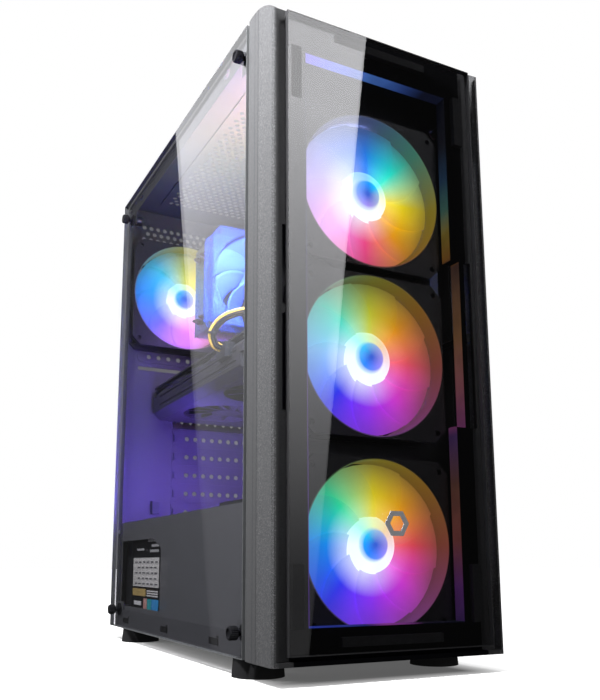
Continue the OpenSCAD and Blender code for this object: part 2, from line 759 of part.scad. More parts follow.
module board_port_blocks(grow, cavity) {
    for (i = [0:5]) difference() {
        block(face_x - port_reaches[i] - grow, back_y - 20, port_z(i) - grow,
            face_x + (grow > 0 ? 3 : 0), back_y + 0.8 + grow, port_z(i) + port_heights[i] + grow);
        if (cavity > 0) block(face_x - port_reaches[i] + 1.4, back_y - cavity, port_z(i) + 1.4,
            face_x - 2, back_y + 2, port_z(i) + port_heights[i] - 1.4);
    }
}

module board_ports() color([0.7, 0.7, 0.72]) case_frame() board_port_blocks(0, 3);

module finned_block(x0, y0, z0, x1, y1, z1, pitch) {
    difference() {
        block(x0, y0, z0, x1, y1, z1);
        for (z = [z0 + pitch:pitch:z1 - pitch]) block(x0 - 1, y0 - 1, z, x1 - 5, y1 + 1, z + pitch * 0.45);
    }
}

module board_heatsinks() color([0.3, 0.31, 0.34]) case_frame() {
    finned_block(face_x - 26, board_y1 - 66, cpu_z - 36, face_x, board_y1 - 44, cpu_z + 52, 8);
    finned_block(face_x - 20, cpu_y - 30, board_z1 - 34, face_x, cpu_y + 40, board_z1 - 15, 5);
    finned_block(face_x - 12, board_y0 + 30, board_z0 + 18, face_x, board_y0 + 72, board_z0 + 60, 7);
}

memory_ys = [board_y0 + 28, board_y0 + 38, board_y0 + 48, board_y0 + 58];

module board_slots() color(dark) case_frame() {
    block(face_x - 7, cpu_y - 24, cpu_z - 26, face_x, cpu_y + 24, cpu_z + 26);
    for (y = memory_ys) difference() {
        block(face_x - 9, y - 3.2, cpu_z - 71, face_x, y + 3.2, cpu_z + 71);
        block(face_x - 10, y - 0.9, cpu_z - 67, face_x - 3, y + 0.9, cpu_z + 67);
    }
    for (i = [0, 2, 3]) {
        z = card_pcb_z + board_t / 2 - i * slot_pitch;
        length = i == 0 || i == 3 ? 89 : 25;
        difference() {
            block(face_x - 11, board_y1 - 22 - length, z - 3.7, face_x, board_y1 - 22, z + 3.7);
            block(face_x - 12, board_y1 - 20 - length, z - 1, face_x - 3, board_y1 - 24, z + 1);
        }
    }
}

module board_sockets() color([0.08, 0.08, 0.08]) case_frame() {
    block(face_x - 12, board_y0 + 1, cpu_z - 42, face_x, board_y0 + 11, cpu_z + 10);
    block(face_x - 12, board_y1 - 60, board_z1 - 12, face_x, board_y1 - 40, board_z1 - 2);
    for (z = [board_z0 + 24, board_z0 + 42]) block(face_x - 9, board_y0 + 1, z, face_x, board_y0 + 16, z + 14);
    for (y = [board_y0 + 90:24:board_y1 - 60]) block(face_x - 8, y, board_z0 + 2, face_x, y + 18, board_z0 + 8);
}

module memory_modules() color([0.12, 0.12, 0.13]) case_frame() {
    for (y = [memory_ys[1], memory_ys[3]]) {
        block(face_x - 34, y - 0.7, cpu_z - 66.5, face_x - 3.2, y + 0.7, cpu_z + 66.5);
        for (s = [-1, 1]) block(face_x - 40, min(y + s * 0.7, y + s * 3), cpu_z - 66, face_x - 9.4,
            max(y + s * 0.7, y + s * 3), cpu_z + 66);
    }
}

module solid_state_drive() color([0.15, 0.15, 0.17]) case_frame()
    block(-62, plate_front_y + 14, shroud_top_z, 8, plate_front_y + 114, shroud_top_z + 7);

// ---- Processor cooler ----

module at_pipes() {
    for (y = pipe_ys, s = [-1, 1]) translate([0, y, cpu_z + s * pipe_dz]) children();
}

module cooler_base() color([0.75, 0.75, 0.78]) case_frame() difference() {
    union() {
        block(pipe_base_x - 6, cpu_y - 20, cpu_z - 20, face_x - 7, cpu_y + 20, cpu_z + 20);
        block(face_x - 9, cpu_y - 4, cpu_z - 44, face_x - 7, cpu_y + 4, cpu_z + 44);
    }
    for (y = pipe_ys) rod_z(pipe_base_x, y, cpu_z - 50, cpu_z + 50, pipe_r);
}

module cooler_heat_pipes() color([0.8, 0.62, 0.5]) case_frame() {
    bend = 8;
    for (y = pipe_ys) {
        rod_z(pipe_base_x, y, cpu_z - pipe_dz + bend, cpu_z + pipe_dz - bend, pipe_r);
        for (s = [-1, 1]) {
            translate([pipe_base_x - bend, y, cpu_z + s * (pipe_dz - bend)]) rotate([s * 90, 0, 0])
                rotate_extrude(angle = 90) translate([bend, 0]) circle(pipe_r);
            rod_x(cooler_tip_x + 5, pipe_base_x - bend, y, cpu_z + s * pipe_dz, pipe_r);
            translate([cooler_tip_x, y, cpu_z + s * pipe_dz]) rotate([0, 90, 0])
                cylinder(h = 5, r1 = 1, r2 = pipe_r);
        }
    }
}

module cooler_fins() color([0.8, 0.82, 0.85]) case_frame() {
    for (x = [fin_x0:2.4:fin_x1]) sheet_x(x, 0.5) difference() {
        area(fin_y0, cpu_z - fin_h / 2, fin_y1, cpu_z + fin_h / 2);
        for (y = pipe_ys, s = [-1, 1]) translate([y, cpu_z + s * pipe_dz]) circle(pipe_r);
    }
}

module cooler_fan_frame() color([0.5, 0.6, 0.9]) case_frame() at_cooler_fan() fan_frame(cooler_fan);
module cooler_fan_rotor() color([0.4, 0.5, 1]) case_frame() at_cooler_fan() fan_rotor(cooler_fan);

// ---- Graphics card ----

module graphics_board() color([0.05, 0.06, 0.06]) case_frame() {
    block(card_x0 + 4, card_y0 + 6, card_pcb_z, face_x - 13, back_in_y - 2, card_pcb_z + board_t);
    block(face_x - 13, board_y1 - 108, card_pcb_z, face_x - 4, board_y1 - 28, card_pcb_z + board_t);
    block(card_x0 - 5, card_y0 + 26, card_pcb_z - 13, card_x0 + 12, card_y0 + 46, card_pcb_z);
    for (i = [0:2]) block(slot_x0 + 26 + i * 24, back_in_y - 14, card_pcb_z - 9, slot_x0 + 42 + i * 24,
        back_y + 0.6, card_pcb_z - 2);
}

module graphics_shroud() color([0.1, 0.1, 0.11]) case_frame() difference() {
    sheet_y(card_y0, card_l) polygon([
        [card_x0 + 8, shroud_z0], [card_x0, shroud_z0 + 7], [card_x0, shroud_z1 - 5], [card_x0 + 4, shroud_z1],
        [card_x1, shroud_z1], [card_x1, shroud_z0 + 4], [card_x1 - 4, shroud_z0]
    ]);
    // hollow for the heatsink
    block(card_x0 + 5, card_y0 + 4, shroud_z0 + 14, card_x1 - 3, card_y1 - 4, shroud_z1 + 1);
    for (n = [0, 1]) at_card_fan(n) translate([0, 0, -1]) cylinder(h = card_t, r = card_fan_r + 2);
    block(slot_x0 + 24, card_y1 - 6, card_pcb_z - 10, slot_x0 + 92, card_y1 + 1, shroud_z1 + 1);
    // slanted cuts at the two ends and long grooves along the window edge
    translate([card_x0 - 1, card_y0 - 1, shroud_z0 - 1]) rotate([0, 0, 45]) cube([12, 12, card_t + 6], center = true);
    translate([card_x0, card_y1, shroud_z1 + 6]) rotate([30, 0, 0]) cube([60, 30, 16], center = true);
    for (z = [shroud_z0 + 12, shroud_z1 - 9]) block(card_x0 - 1, card_y0 + 14, z, card_x0 + 1.2, card_y1 - 22, z + 1.4);
    block(card_x0 - 1, card_y0 + 24, shroud_z1 - 12, card_x0 + 13, card_y0 + 48, shroud_z1 + 1);
}

module graphics_backplate() color([0.16, 0.16, 0.18]) case_frame() sheet_z(card_pcb_z + board_t, 1.8) difference() {
    area(card_x0 + 1, card_y0 + 4, card_x1, card_y1);
    for (i = [0:6]) translate([card_x0 + 26, card_y0 + 30 + i * 8]) rotate(35) area(0, 0, 28, 3);
}

module graphics_heatsink() color([0.7, 0.72, 0.75]) case_frame() {
    x0 = card_x0 + 6;
    x1 = card_x1 - 4;
    y0 = card_y0 + 50;
    y1 = card_y1 - 6;
    block(x0 + 4, y0, shroud_z1 - 2, x1, y1, shroud_z1 + 2);
    for (y = [y0:4:y1 - 1]) block(x0, y, shroud_z0 + 16, x1, y + 0.7, shroud_z1 - 2);
}

module graphics_bracket() color([0.7, 0.7, 0.72]) case_frame() sheet_y(back_in_y - 1, 1) difference() {
    area(slot_x0, slot_z - slot_pitch - 9.2, slot_x1, slot_z + 9.2);
    for (i = [0:2]) area(slot_x0 + 25.6 + i * 24, card_pcb_z - 9.4, slot_x0 + 42.4 + i * 24, card_pcb_z - 1.6);
    for (i = [0:8]) translate([slot_x0 + 12 + i * 10, slot_z - slot_pitch]) rotate(60) area(-4, -1.5, 5, 1.5);
}

module card_fan() {
    vane_rotor(15, card_fan_r, 0.8, 11, 11);
}

module graphics_fan_front() color([0.12, 0.12, 0.12]) case_frame() at_card_fan(0) card_fan();
module graphics_fan_rear() color([0.12, 0.12, 0.12]) case_frame() at_card_fan(1) card_fan();

// ---- Power supply ----

module power_supply() color([0.05, 0.05, 0.05]) case_frame() {
    z1 = psu_z0 + psu_h;
    difference() {
        block(psu_x0, psu_y0, psu_z0, psu_x0 + psu_w, back_in_y, z1);
        block(psu_x0 + 1, psu_y0 + 1, psu_z0 + 1, psu_x0 + psu_w - 1, back_in_y - 1, z1 - 1);
        rod_z(psu_x, psu_fan_y, psu_z0 - 1, psu_z0 + 2, psu_fan_r + 1);
        sheet_y(back_in_y - 2, 3) {
            area(inlet_x - 13.6, inlet_z - 9.8, inlet_x + 13.6, inlet_z + 9.8);
            area(switch_x - 7, inlet_z - 10.5, switch_x + 7, inlet_z + 10.5);
            vent_rows(switch_x + 14, psu_z0 + 10, psu_x0 + psu_w - 12, z1 - 10, 7, 2.4);
        }
        sheet_y(psu_y0 - 1, 3) for (p = [[38, 60], [56, 44]]) translate(p) circle(8);
    }
    for (a = [0, 90]) translate([psu_x, psu_fan_y, psu_z0]) rotate(a)
        block(-psu_fan_r - 2, -3, 0, psu_fan_r + 2, 3, 1);
    rod_z(psu_x, psu_fan_y, psu_z0, psu_z0 + 2, 16);
    rod_z(psu_x, psu_fan_y, psu_z0, psu_z0 + 18, pin_r);
}

module power_supply_fan() color([0.1, 0.1, 0.1]) case_frame()
    translate([psu_x, psu_fan_y, psu_z0 + 24]) mirror([0, 0, 1]) vane_rotor(18, psu_fan_r - 1, 0, 20, 7);

module power_inlet() color([0.04, 0.04, 0.04]) case_frame() {
    difference() {
        union() {
            block(inlet_x - 13.5, back_y - 18, inlet_z - 9.7, inlet_x + 13.5, back_y, inlet_z + 9.7);
            block(inlet_x - 15, back_y, inlet_z - 11.2, inlet_x + 15, back_y + 1.4, inlet_z + 11.2);
        }
        block(inlet_x - 12.2, back_y - 15, inlet_z - 8.3, inlet_x + 12.2, back_y + 2, inlet_z + 8.3);
    }
    for (p = [[-7, -2], [0, 2], [7, -2]])
        block(inlet_x + p[0] - 1, back_y - 15, inlet_z + p[1] - 2, inlet_x + p[0] + 1, back_y - 2, inlet_z + p[1] + 2);
}

module power_switch() color([0.08, 0.08, 0.08]) case_frame()
    translate([switch_x, back_y - 5, inlet_z]) rotate([switch_tilt, 0, 0])
        sheet_x(-6, 12) polygon([[-4, -9], [5, -9], [6.4, 0], [5, 9], [-4, 9]]);

module dust_filter() color([0.12, 0.12, 0.12]) case_frame() {
    z0 = foot_h - filter_t - fit_gap;
    y1 = back_in_y - 2;
    difference() {
        block(-filter_w / 2, psu_y0 - 3, z0, filter_w / 2, y1, z0 + filter_t);
        block(-filter_w / 2 + 7, psu_y0 + 5, z0 + 1.2, filter_w / 2 - 7, y1 - 10, z0 + filter_t + 1);
    }
    block(-16, y1, z0, 16, back_y + 4, z0 + filter_t);
}

// ---- Cables: a round tube swept along its route, rounded between the points ----

function spline(p, i, t) =
    let (a = p[max(i - 1, 0)], b = p[i], c = p[i + 1], d = p[min(i + 2, len(p) - 1)])
    0.5 * ((2 * b) + (c - a) * t + (2 * a - 5 * b + 4 * c - d) * t * t + (3 * b - a - 3 * c + d) * t * t * t);

function smooth_route(p, steps) = [
    for (i = [0:len(p) - 2], s = [0:steps - 1]) spline(p, i, s / steps),
    p[len(p) - 1]
];

function unit(v) = v / norm(v);

function heading(q, i) = unit(q[min(i + 1, len(q) - 1)] - q[max(i - 1, 0)]);

// Each ring's first direction is the last ring's, turned as little as possible
function carried(q, i) =
    let (t = heading(q, i), last = i == 0 ? [0, 0.1, 1] : carried(q, i - 1))
    unit(last - (last * t) * t);

module tube(route, r, steps, sides) {
    q = smooth_route(route, steps);
    rings = len(q);
    points = [
        for (i = [0:rings - 1])
            let (t = heading(q, i), u = carried(q, i), v = cross(t, u))
            for (k = [0:sides - 1]) q[i] + r * (cos(k * 360 / sides) * u + sin(k * 360 / sides) * v)
    ];
    sides_faces = [
        for (i = [0:rings - 2], k = [0:sides - 1])
            let (a = i * sides + k, b = i * sides + (k + 1) % sides) [a + sides, b + sides, b, a]
    ];
    caps = [[for (k = [0:sides - 1]) k], [for (k = [sides - 1:-1:0]) (rings - 1) * sides + k]];
    polyhedron(points, concat(sides_faces, caps));
}

module graphics_cable() color([0.85, 0.7, 0.1]) case_frame() tube(graphics_route, graphics_cable_r, 2, 8);
module board_cable() color([0.05, 0.05, 0.05]) case_frame() tube(board_route, board_cable_r, 2, 10);

bottom_pan();
rear_panel();
top_panel();
front_plate();
motherboard_tray();
psu_shroud();
case_feet();
slot_covers();
io_shield();
window_studs();
io_module();
usb_ports();
audio_jacks();
power_button();
reset_button();
front_bezel();
front_glass();
front_glass_pads();
glass_badge();
side_window();
window_washers();
window_thumbscrews();
right_side_panel();
panel_thumbscrews();
front_fan_frame_low();
front_fan_frame_middle();
front_fan_frame_high();
front_fan_rotor_low();
front_fan_rotor_middle();
front_fan_rotor_high();
rear_fan_frame();
rear_fan_rotor();
fan_screws();
motherboard();
board_ports();
board_heatsinks();
board_slots();
board_sockets();
board_standoffs();
memory_modules();
solid_state_drive();
cooler_base();
cooler_heat_pipes();
cooler_fins();
cooler_fan_frame();
cooler_fan_rotor();
graphics_board();
graphics_shroud();
graphics_backplate();
graphics_heatsink();
graphics_bracket();
graphics_fan_front();
graphics_fan_rear();
power_supply();
power_supply_fan();
power_inlet();
power_switch();
dust_filter();
graphics_cable();
board_cable();
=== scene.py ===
"""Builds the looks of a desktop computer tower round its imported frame: glass, lit fans, steel and boards."""

import json
import math

import bmesh
import bpy
from mathutils import Matrix, Vector


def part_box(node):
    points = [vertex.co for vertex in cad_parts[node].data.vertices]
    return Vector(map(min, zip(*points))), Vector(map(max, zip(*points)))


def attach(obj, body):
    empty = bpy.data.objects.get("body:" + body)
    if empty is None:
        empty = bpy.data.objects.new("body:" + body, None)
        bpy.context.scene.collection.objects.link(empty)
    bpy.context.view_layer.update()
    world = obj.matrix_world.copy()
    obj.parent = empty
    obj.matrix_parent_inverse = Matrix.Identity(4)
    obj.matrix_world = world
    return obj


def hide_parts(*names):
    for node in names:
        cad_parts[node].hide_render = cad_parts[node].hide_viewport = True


bl_info = {
    "name": "Desktop computer tower",
    "version": (1, 0, 0),
    "blender": (4, 5, 0),
    "location": "View3D > Sidebar > Tower",
    "description": "Builds the glass, fans, cables and finishes of a desktop computer tower",
    "category": "Object",
}

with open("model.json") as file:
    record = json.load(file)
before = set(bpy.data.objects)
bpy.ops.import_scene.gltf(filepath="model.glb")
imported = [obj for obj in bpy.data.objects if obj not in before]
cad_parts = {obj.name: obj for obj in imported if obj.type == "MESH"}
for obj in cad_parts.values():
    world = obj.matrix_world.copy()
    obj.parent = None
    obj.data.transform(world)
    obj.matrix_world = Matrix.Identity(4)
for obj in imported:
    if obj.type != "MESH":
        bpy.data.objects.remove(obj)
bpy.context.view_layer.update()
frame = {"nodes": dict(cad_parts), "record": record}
MM = 0.001
RECORD = frame["record"]
NODES = frame["nodes"]
SLOT_OF = {part["node"]: part["material_slot"] for part in RECORD["subparts"]}
FRONT_FANS = ["low", "middle", "high"]
WING_BAND_Y = -0.1685  # where the bezel's smooth band meets its band of flakes
WING_INNER_X = 0.0862  # where the channels beside the front glass end and the wings start
GLASS_IOR = 1.52
FOOTPRINT = (0.070, 0.175)  # half the width and depth of the floor under the case where the painted shadow is darkest
SHADE_REACH = 0.045  # how far past the footprint the painted shadow fades out
CARD_TOP = 1.15  # the height at which a reflected card is brightest


# ---- Places read from the frame ----


def low(node):
    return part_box(node)[0]


def high(node):
    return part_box(node)[1]


def middle(node):
    corner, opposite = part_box(node)
    return (corner + opposite) / 2


# ---- Shader maths ----


class Value:
    """A socket in a finish. Sums and products on it add the nodes that work them out."""

    def __init__(self, finish, socket):
        self.finish = finish
        self.socket = socket

    def math(self, operation, *others):
        return self.finish.node("Math", {"operation": operation}, [self, *others])

    def __add__(self, other):
        return self.math("ADD", other)

    def __sub__(self, other):
        return self.math("SUBTRACT", other)

    def __rsub__(self, other):
        return self.finish.node("Math", {"operation": "SUBTRACT"}, [other, self])

    def __mul__(self, other):
        return self.math("MULTIPLY", other)

    def __truediv__(self, other):
        return self.math("DIVIDE", other)

    def __pow__(self, other):
        return self.math("POWER", other)

    def __gt__(self, other):
        return self.math("GREATER_THAN", other)

    def __lt__(self, other):
        return self.math("LESS_THAN", other)

    def __abs__(self):
        return self.math("ABSOLUTE")


class Finish:
    """A material under construction."""

    def __init__(self, name):
        self.material = bpy.data.materials.new(name)
        self.material.use_nodes = True
        self.tree = self.material.node_tree
        self.tree.nodes.clear()
        self.output = self.tree.nodes.new("ShaderNodeOutputMaterial")

    def node(self, kind, settings=None, sockets=None, output=0):
        made = self.tree.nodes.new("ShaderNode" + kind)
        for name, setting in (settings or {}).items():
            if name == "stops":
                self._stops(made.color_ramp, setting)
            else:
                setattr(made, name, setting)
        pairs = enumerate(sockets) if isinstance(sockets, list) else (sockets or {}).items()
        for key, value in pairs:
            if isinstance(value, Value):
                self.tree.links.new(value.socket, made.inputs[key])
            else:
                made.inputs[key].default_value = value
        return Value(self, made.outputs[output])

    @staticmethod
    def _stops(ramp, stops):
        while len(ramp.elements) < len(stops):
            ramp.elements.new(1.0)
        for element, (place, colour) in zip(ramp.elements, stops):
            element.position = place
            element.color = solid(colour)

    def coords(self):
        return self.node("TexCoord", output="Object")

    def axes(self):
        """The object coordinates as three values in metres."""
        split = self.node("SeparateXYZ", {}, [self.coords()])
        sockets = split.socket.node.outputs
        return [Value(self, sockets[axis]) for axis in "XYZ"]

    def noise(self, scale, detail=2.0, stretch=(1, 1, 1), output="Fac"):
        place = self.node("Mapping", {}, {"Vector": self.coords(), "Scale": stretch})
        return self.node("TexNoise", {}, {"Vector": place, "Scale": scale, "Detail": detail}, output)

    def cells(self, scale, output="Distance"):
        return self.node("TexVoronoi", {}, {"Vector": self.coords(), "Scale": scale}, output)

    def mix(self, first, second, share):
        return self.node("Mix", {"data_type": "RGBA"}, {0: share, 6: tint(first), 7: tint(second)}, 2)

    def ramp(self, value, stops):
        return self.node("ValToRGB", {"stops": stops}, [value])

    def span(self, value, from_low, from_high, to_low=0.0, to_high=1.0):
        return self.node("MapRange", {}, [value, from_low, from_high, to_low, to_high])

    def bump(self, height, distance, strength=1.0):
        return self.node("Bump", {}, {"Height": height, "Distance": distance, "Strength": strength})

    def surface(self, **sockets):
        """A principled surface; base_color=... sets its Base Color, and so on."""
        named = {}
        for name, value in sockets.items():
            title = name.replace("_", " ").title().replace("Ior", "IOR")
            named[title] = tint(value) if "Color" in title else value
        return self.node("BsdfPrincipled", {}, named)

    def done(self, shader):
        self.tree.links.new(shader.socket, self.output.inputs["Surface"])
        return self.material


def solid(colour):
    return (*colour[:3], 1.0)


def tint(colour):
    return colour if isinstance(colour, Value) else solid(colour)


def shaded(colour, share):
    return [part * share for part in colour]


# ---- Finishes ----


def powder_coat(name, colour):
    """Satin powder coat on sheet steel, with its fine orange peel."""
    made = Finish(name)
    grain = made.noise(1400, 3)
    cloud = made.noise(14, 2)
    paint = made.mix(shaded(colour, 0.85), shaded(colour, 1.25), grain * 0.6 + cloud * 0.4)
    return made.done(made.surface(
        base_color=paint,
        roughness=made.span(grain, 0.2, 0.8, 0.34, 0.52),
        metallic=0.25,
        normal=made.bump(grain, 0.00012, 0.5),
    ))


def grained_plastic(name, colour, rough=0.5, grain_size=900, depth=0.00008):
    """Moulded plastic with a fine spark-eroded grain."""
    made = Finish(name)
    grain = made.noise(grain_size, 4)
    wear = made.noise(30, 3)
    return made.done(made.surface(
        base_color=made.mix(shaded(colour, 0.75), [part * 1.3 + 0.002 for part in colour],
                            grain * 0.5 + wear * 0.5),
        roughness=made.span(grain, 0.25, 0.75, rough - 0.08, rough + 0.1),
        normal=made.bump(grain, depth, 0.6),
    ))


def sparkle_plastic(name, wing, plate):
    """Dark plastic: a smooth band, a band of metal flakes, and a near-black plate behind the glass; the
    channels beside the glass and the two bead lines are painted darker as shade.
    """
    made = Finish(name)
    x, y, _ = made.axes()
    flakes = made.cells(2400, "Color")
    flake = made.node("SeparateColor", {}, [flakes], 0)
    soft = made.noise(500, 3)
    band = y < WING_BAND_Y
    sparkle = made.span(flake, 0.72, 1.0) * (band * 0.5 + 0.12)
    # Painted shade: thin darker lines along the two edges of the wing's bead
    bead_shade = (abs(y - WING_BAND_Y) < 0.0004).math("MAXIMUM", abs(y - WING_BAND_Y - 0.006) < 0.0003)
    aside = abs(x - middle("front_bezel").x)
    outside = aside > high("front_glass").x - middle("front_glass").x - 0.004
    # Painted shade: inside WING_INNER_X the channels beside the glass take the wing's colour darkened to 0.6,
    # without flakes
    paint = made.mix(shaded(wing, 0.6), made.mix(wing, (0.42, 0.42, 0.43), sparkle), aside > WING_INNER_X)
    lined = made.mix(paint, shaded(wing, 0.4), bead_shade)
    return made.done(made.surface(
        base_color=made.mix(shaded(plate, 0.9), made.mix(plate, lined, outside), soft * 0.2 + 0.8),
        roughness=made.span(soft, 0.3, 0.7, 0.4, 0.52),
        metallic=sparkle * 0.8,
        specular_ior_level=outside * 0.4,
        normal=made.bump(flake * band * 0.4 + soft * 0.6, 0.00006, 0.25),
    ))


def brushed_metal(name, colour, stretch=(1, 1, 30), rough=0.3):
    """Rolled or brushed metal with lines along one axis."""
    made = Finish(name)
    lines = made.noise(420, 4, stretch)
    stain = made.noise(25, 2)
    return made.done(made.surface(
        base_color=made.mix(shaded(colour, 0.78), colour, lines * 0.6 + stain * 0.4),
        metallic=1.0,
        roughness=made.span(lines, 0.2, 0.8, rough - 0.08, rough + 0.12),
        normal=made.bump(lines, 0.00004, 0.4),
    ))


def rubber(name, colour):
    made = Finish(name)
    grain = made.noise(700, 3)
    return made.done(made.surface(
        base_color=made.mix(colour, shaded(colour, 1.8), grain),
        roughness=made.span(grain, 0.2, 0.8, 0.7, 0.9),
        normal=made.bump(grain, 0.0002, 0.5),
    ))


def tinted_glass(name, node, shade, edge_colour):
    """Toughened glass: clear but tinted, with a ground edge."""
    made = Finish(name)
    spots = dict(zip("xyz", made.axes()))
    corner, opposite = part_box(node)
    size = opposite - corner
    thin = min("xyz", key=lambda axis: getattr(size, axis))
    inside = []
    for axis in "xyz":
        if axis != thin:
            half = getattr(size, axis) / 2
            centre = (getattr(corner, axis) + getattr(opposite, axis)) / 2
            inside.append(half - abs(spots[axis] - centre))
    ground = inside[0].math("MINIMUM", inside[1]) < 0.0005
    haze = made.noise(60, 3)
    see_through = made.node("BsdfTransparent", {}, [tint(shade)])
    shine = made.node("BsdfGlossy", {}, {"Color": (1, 1, 1, 1), "Roughness": 0.01})
    # both faces bend light as the outer one does, because the clear shader lets rays through straight
    inner_face = made.node("NewGeometry", output="Backfacing")
    fresnel = made.node("Fresnel", {}, {"IOR": made.span(inner_face, 0.0, 1.0, GLASS_IOR, 1 / GLASS_IOR)})
    mirrored = (fresnel * 0.92 + haze * 0.004).math("MINIMUM", 1.0)
    pane = made.node("MixShader", {}, [mirrored, see_through, shine])
    frosted = made.surface(base_color=made.mix(edge_colour, shaded(edge_colour, 1.6), haze), roughness=0.35)
    return made.done(made.node("MixShader", {}, [ground, pane, frosted]))


def circuit_board(name):
    """Black solder mask with traces that turn at right angles and small plated holes."""
    made = Finish(name)
    traces = made.node("TexBrick", {}, {
        "Vector": made.coords(), "Color1": (0.014, 0.016, 0.02, 1), "Color2": (0.02, 0.023, 0.028, 1),
        "Mortar": (0.05, 0.055, 0.06, 1), "Scale": 110.0, "Mortar Size": 0.03,
    }, "Color")
    holes = made.cells(240) < 0.1
    return made.done(made.surface(
        base_color=made.mix(traces, (0.5, 0.42, 0.22), holes),
        roughness=made.span(made.noise(300, 2), 0.3, 0.7, 0.3, 0.45),
        metallic=holes * 0.8,
        normal=made.bump(made.noise(260, 1), 0.0001, 0.3),
    ))


def woven_sleeve(name, colour):
    """Braided sleeve over wires."""
    made = Finish(name)
    weave = made.node("TexWave", {"bands_direction": "DIAGONAL"}, {
        "Vector": made.coords(), "Scale": 260.0, "Distortion": 1.5, "Detail": 1.0,
    }, "Fac")
    return made.done(made.surface(
        base_color=made.mix(shaded(colour, 0.4), shaded(colour, 1.7), weave),
        roughness=made.span(weave, 0, 1, 0.55, 0.8),
        normal=made.bump(weave, 0.0003, 0.6),
    ))


def wheel_angle(made, centre):
    """The turn about a fan's axis, 0 to 1 as in a wheel of colours, and the distance from that axis."""
    x, _, z = made.axes()
    across = x - centre.x
    up = z - centre.z
    turn = up.math("ARCTAN2", across) / (2 * math.pi) + 0.5
    distance = (across * across + up * up).math("SQRT")
    return turn, distance


# Where the colours round a fan stand, from the left by the bottom, the right and the top
WHEEL_PLACES = (0.0, 0.13, 0.25, 0.37, 0.50, 0.62, 0.74, 0.87)
WHEELS = {
    "high": [(0.62, 0.45, 1.0), (1.0, 0.38, 1.0), (1.0, 0.07, 0.28), (1.0, 0.38, 0.0),
             (1.0, 0.80, 0.0), (0.0, 0.95, 0.72), (0.0, 0.24, 1.0), (0.30, 0.42, 1.0)],
    "middle": [(0.18, 0.52, 1.0), (0.03, 0.04, 1.0), (0.32, 0.03, 1.0), (0.80, 0.04, 0.72),
               (0.90, 0.08, 0.14), (0.90, 0.34, 0.0), (0.60, 0.66, 0.03), (0.05, 0.85, 0.65)],
    "low": [(0.0, 0.30, 1.0), (0.03, 0.04, 1.0), (0.28, 0.03, 1.0), (0.76, 0.04, 0.80),
            (0.85, 0.06, 0.10), (0.90, 0.36, 0.0), (0.80, 0.68, 0.01), (0.02, 0.85, 0.42)],
    "rear": [(0.0, 0.30, 1.0), (0.12, 0.12, 1.0), (0.70, 0.22, 1.0), (1.0, 0.28, 0.45),
             (1.0, 0.48, 0.03), (1.0, 0.66, 0.01), (0.55, 0.60, 0.05), (0.02, 0.55, 0.75)],
}
FAN_SHARES = {"high": 0.78, "middle": 0.78, "low": 0.78, "rear": 0.75}  # of the fan glow setting
# Painted highlight: how much paler each fan and each hub are at each place round them, counted as in a wheel;
# palest at the lower left
PAINTED_LIGHT_SIDE = [(0.0, 0.8), (0.2, 1.0), (0.42, 0.15), (0.75, 0.1), (1.0, 0.8)]
PAINTED_LIGHT_HUB = [(0.0, 0.9), (0.22, 1.0), (0.42, 0.7), (0.62, 0.1), (0.85, 0.3), (1.0, 0.9)]
CAP_RIM = (0.0095, 0.0125)  # radii between which a hub's blue cap turns into its white ring
LIT_RING = (0.0300, 0.0592)  # radii of the part of a fan's frame that glows with painted light, as if catching the fan's light


def wheel_colours(made, turn, wheel):
    """A fan's colours all the way round, the last one meeting the first."""
    colours = WHEELS[wheel]
    return made.ramp(turn, [*zip(WHEEL_PLACES, colours), (1.0, colours[0])])


def greys(stops):
    return [(place, (grey, grey, grey)) for place, grey in stops]


def frosted_blades(name, centre, wheel, strength):
    """Frosted blades lit from the hub: a wheel of colours that is palest near the hub, paler on the lower left
    as a painted highlight, and darker towards the rim, partly as painted shade.
    """
    made = Finish(name)
    turn, distance = wheel_angle(made, centre)
    colours = wheel_colours(made, turn, wheel)
    glow = made.span(distance, 0.018, 0.036, 0.8, 0.0)
    # Painted highlight: the blades are paler on the lower left side
    side = made.ramp(turn, greys(PAINTED_LIGHT_SIDE))
    pale = made.mix(colours, (0.95, 0.97, 1.0), glow * side)
    # Darker towards the rim, partly as the hub's light thins out and partly as painted shade, least on the
    # painted lit side
    rim_dimmed = made.mix(pale, (0.06, 0.05, 0.03), made.span(distance, 0.026, 0.058, 0.0, 0.9) * (1 - side * 0.6))
    streaks = made.noise(45, 2, (1, 0.3, 1))
    lit = made.mix(rim_dimmed, (0.0, 0.0, 0.0), made.span(streaks, 0.4, 0.8, 0.0, 0.12))
    return made.done(made.surface(
        base_color=made.mix(colours, (0.05, 0.05, 0.06), 0.8),
        roughness=made.span(made.noise(600, 2), 0.2, 0.8, 0.4, 0.5),
        specular_ior_level=0.1,
        emission_color=lit,
        emission_strength=strength,
        normal=made.bump(streaks, 0.0004, 0.3),
    ))


def lit_hub(name, centre, wheel, strength):
    """The hub: a bright white ring round a deep blue cap, the ring whitest on the lower left as a painted
    highlight.
    """
    made = Finish(name)
    turn, distance = wheel_angle(made, centre)
    colours = wheel_colours(made, turn, wheel)
    ring = made.span(distance, *CAP_RIM)
    # Painted highlight: the ring is whitest on the lower left
    hub_highlight = made.ramp(turn, greys(PAINTED_LIGHT_HUB))
    hot = made.mix(made.mix(colours, (0.3, 1.0, 1.0), 0.25), (0.85, 1.0, 1.0), hub_highlight)
    cap = made.mix((0.03, 0.10, 0.55), made.mix(colours, (0.01, 0.30, 0.9), 0.7),
                   made.span(distance, 0.001, 0.0090))
    return made.done(made.surface(
        base_color=(0.05, 0.06, 0.09),
        roughness=made.span(made.noise(500, 2), 0.2, 0.8, 0.3, 0.4),
        emission_color=made.mix(cap, hot, ring),
        emission_strength=strength,
    ))


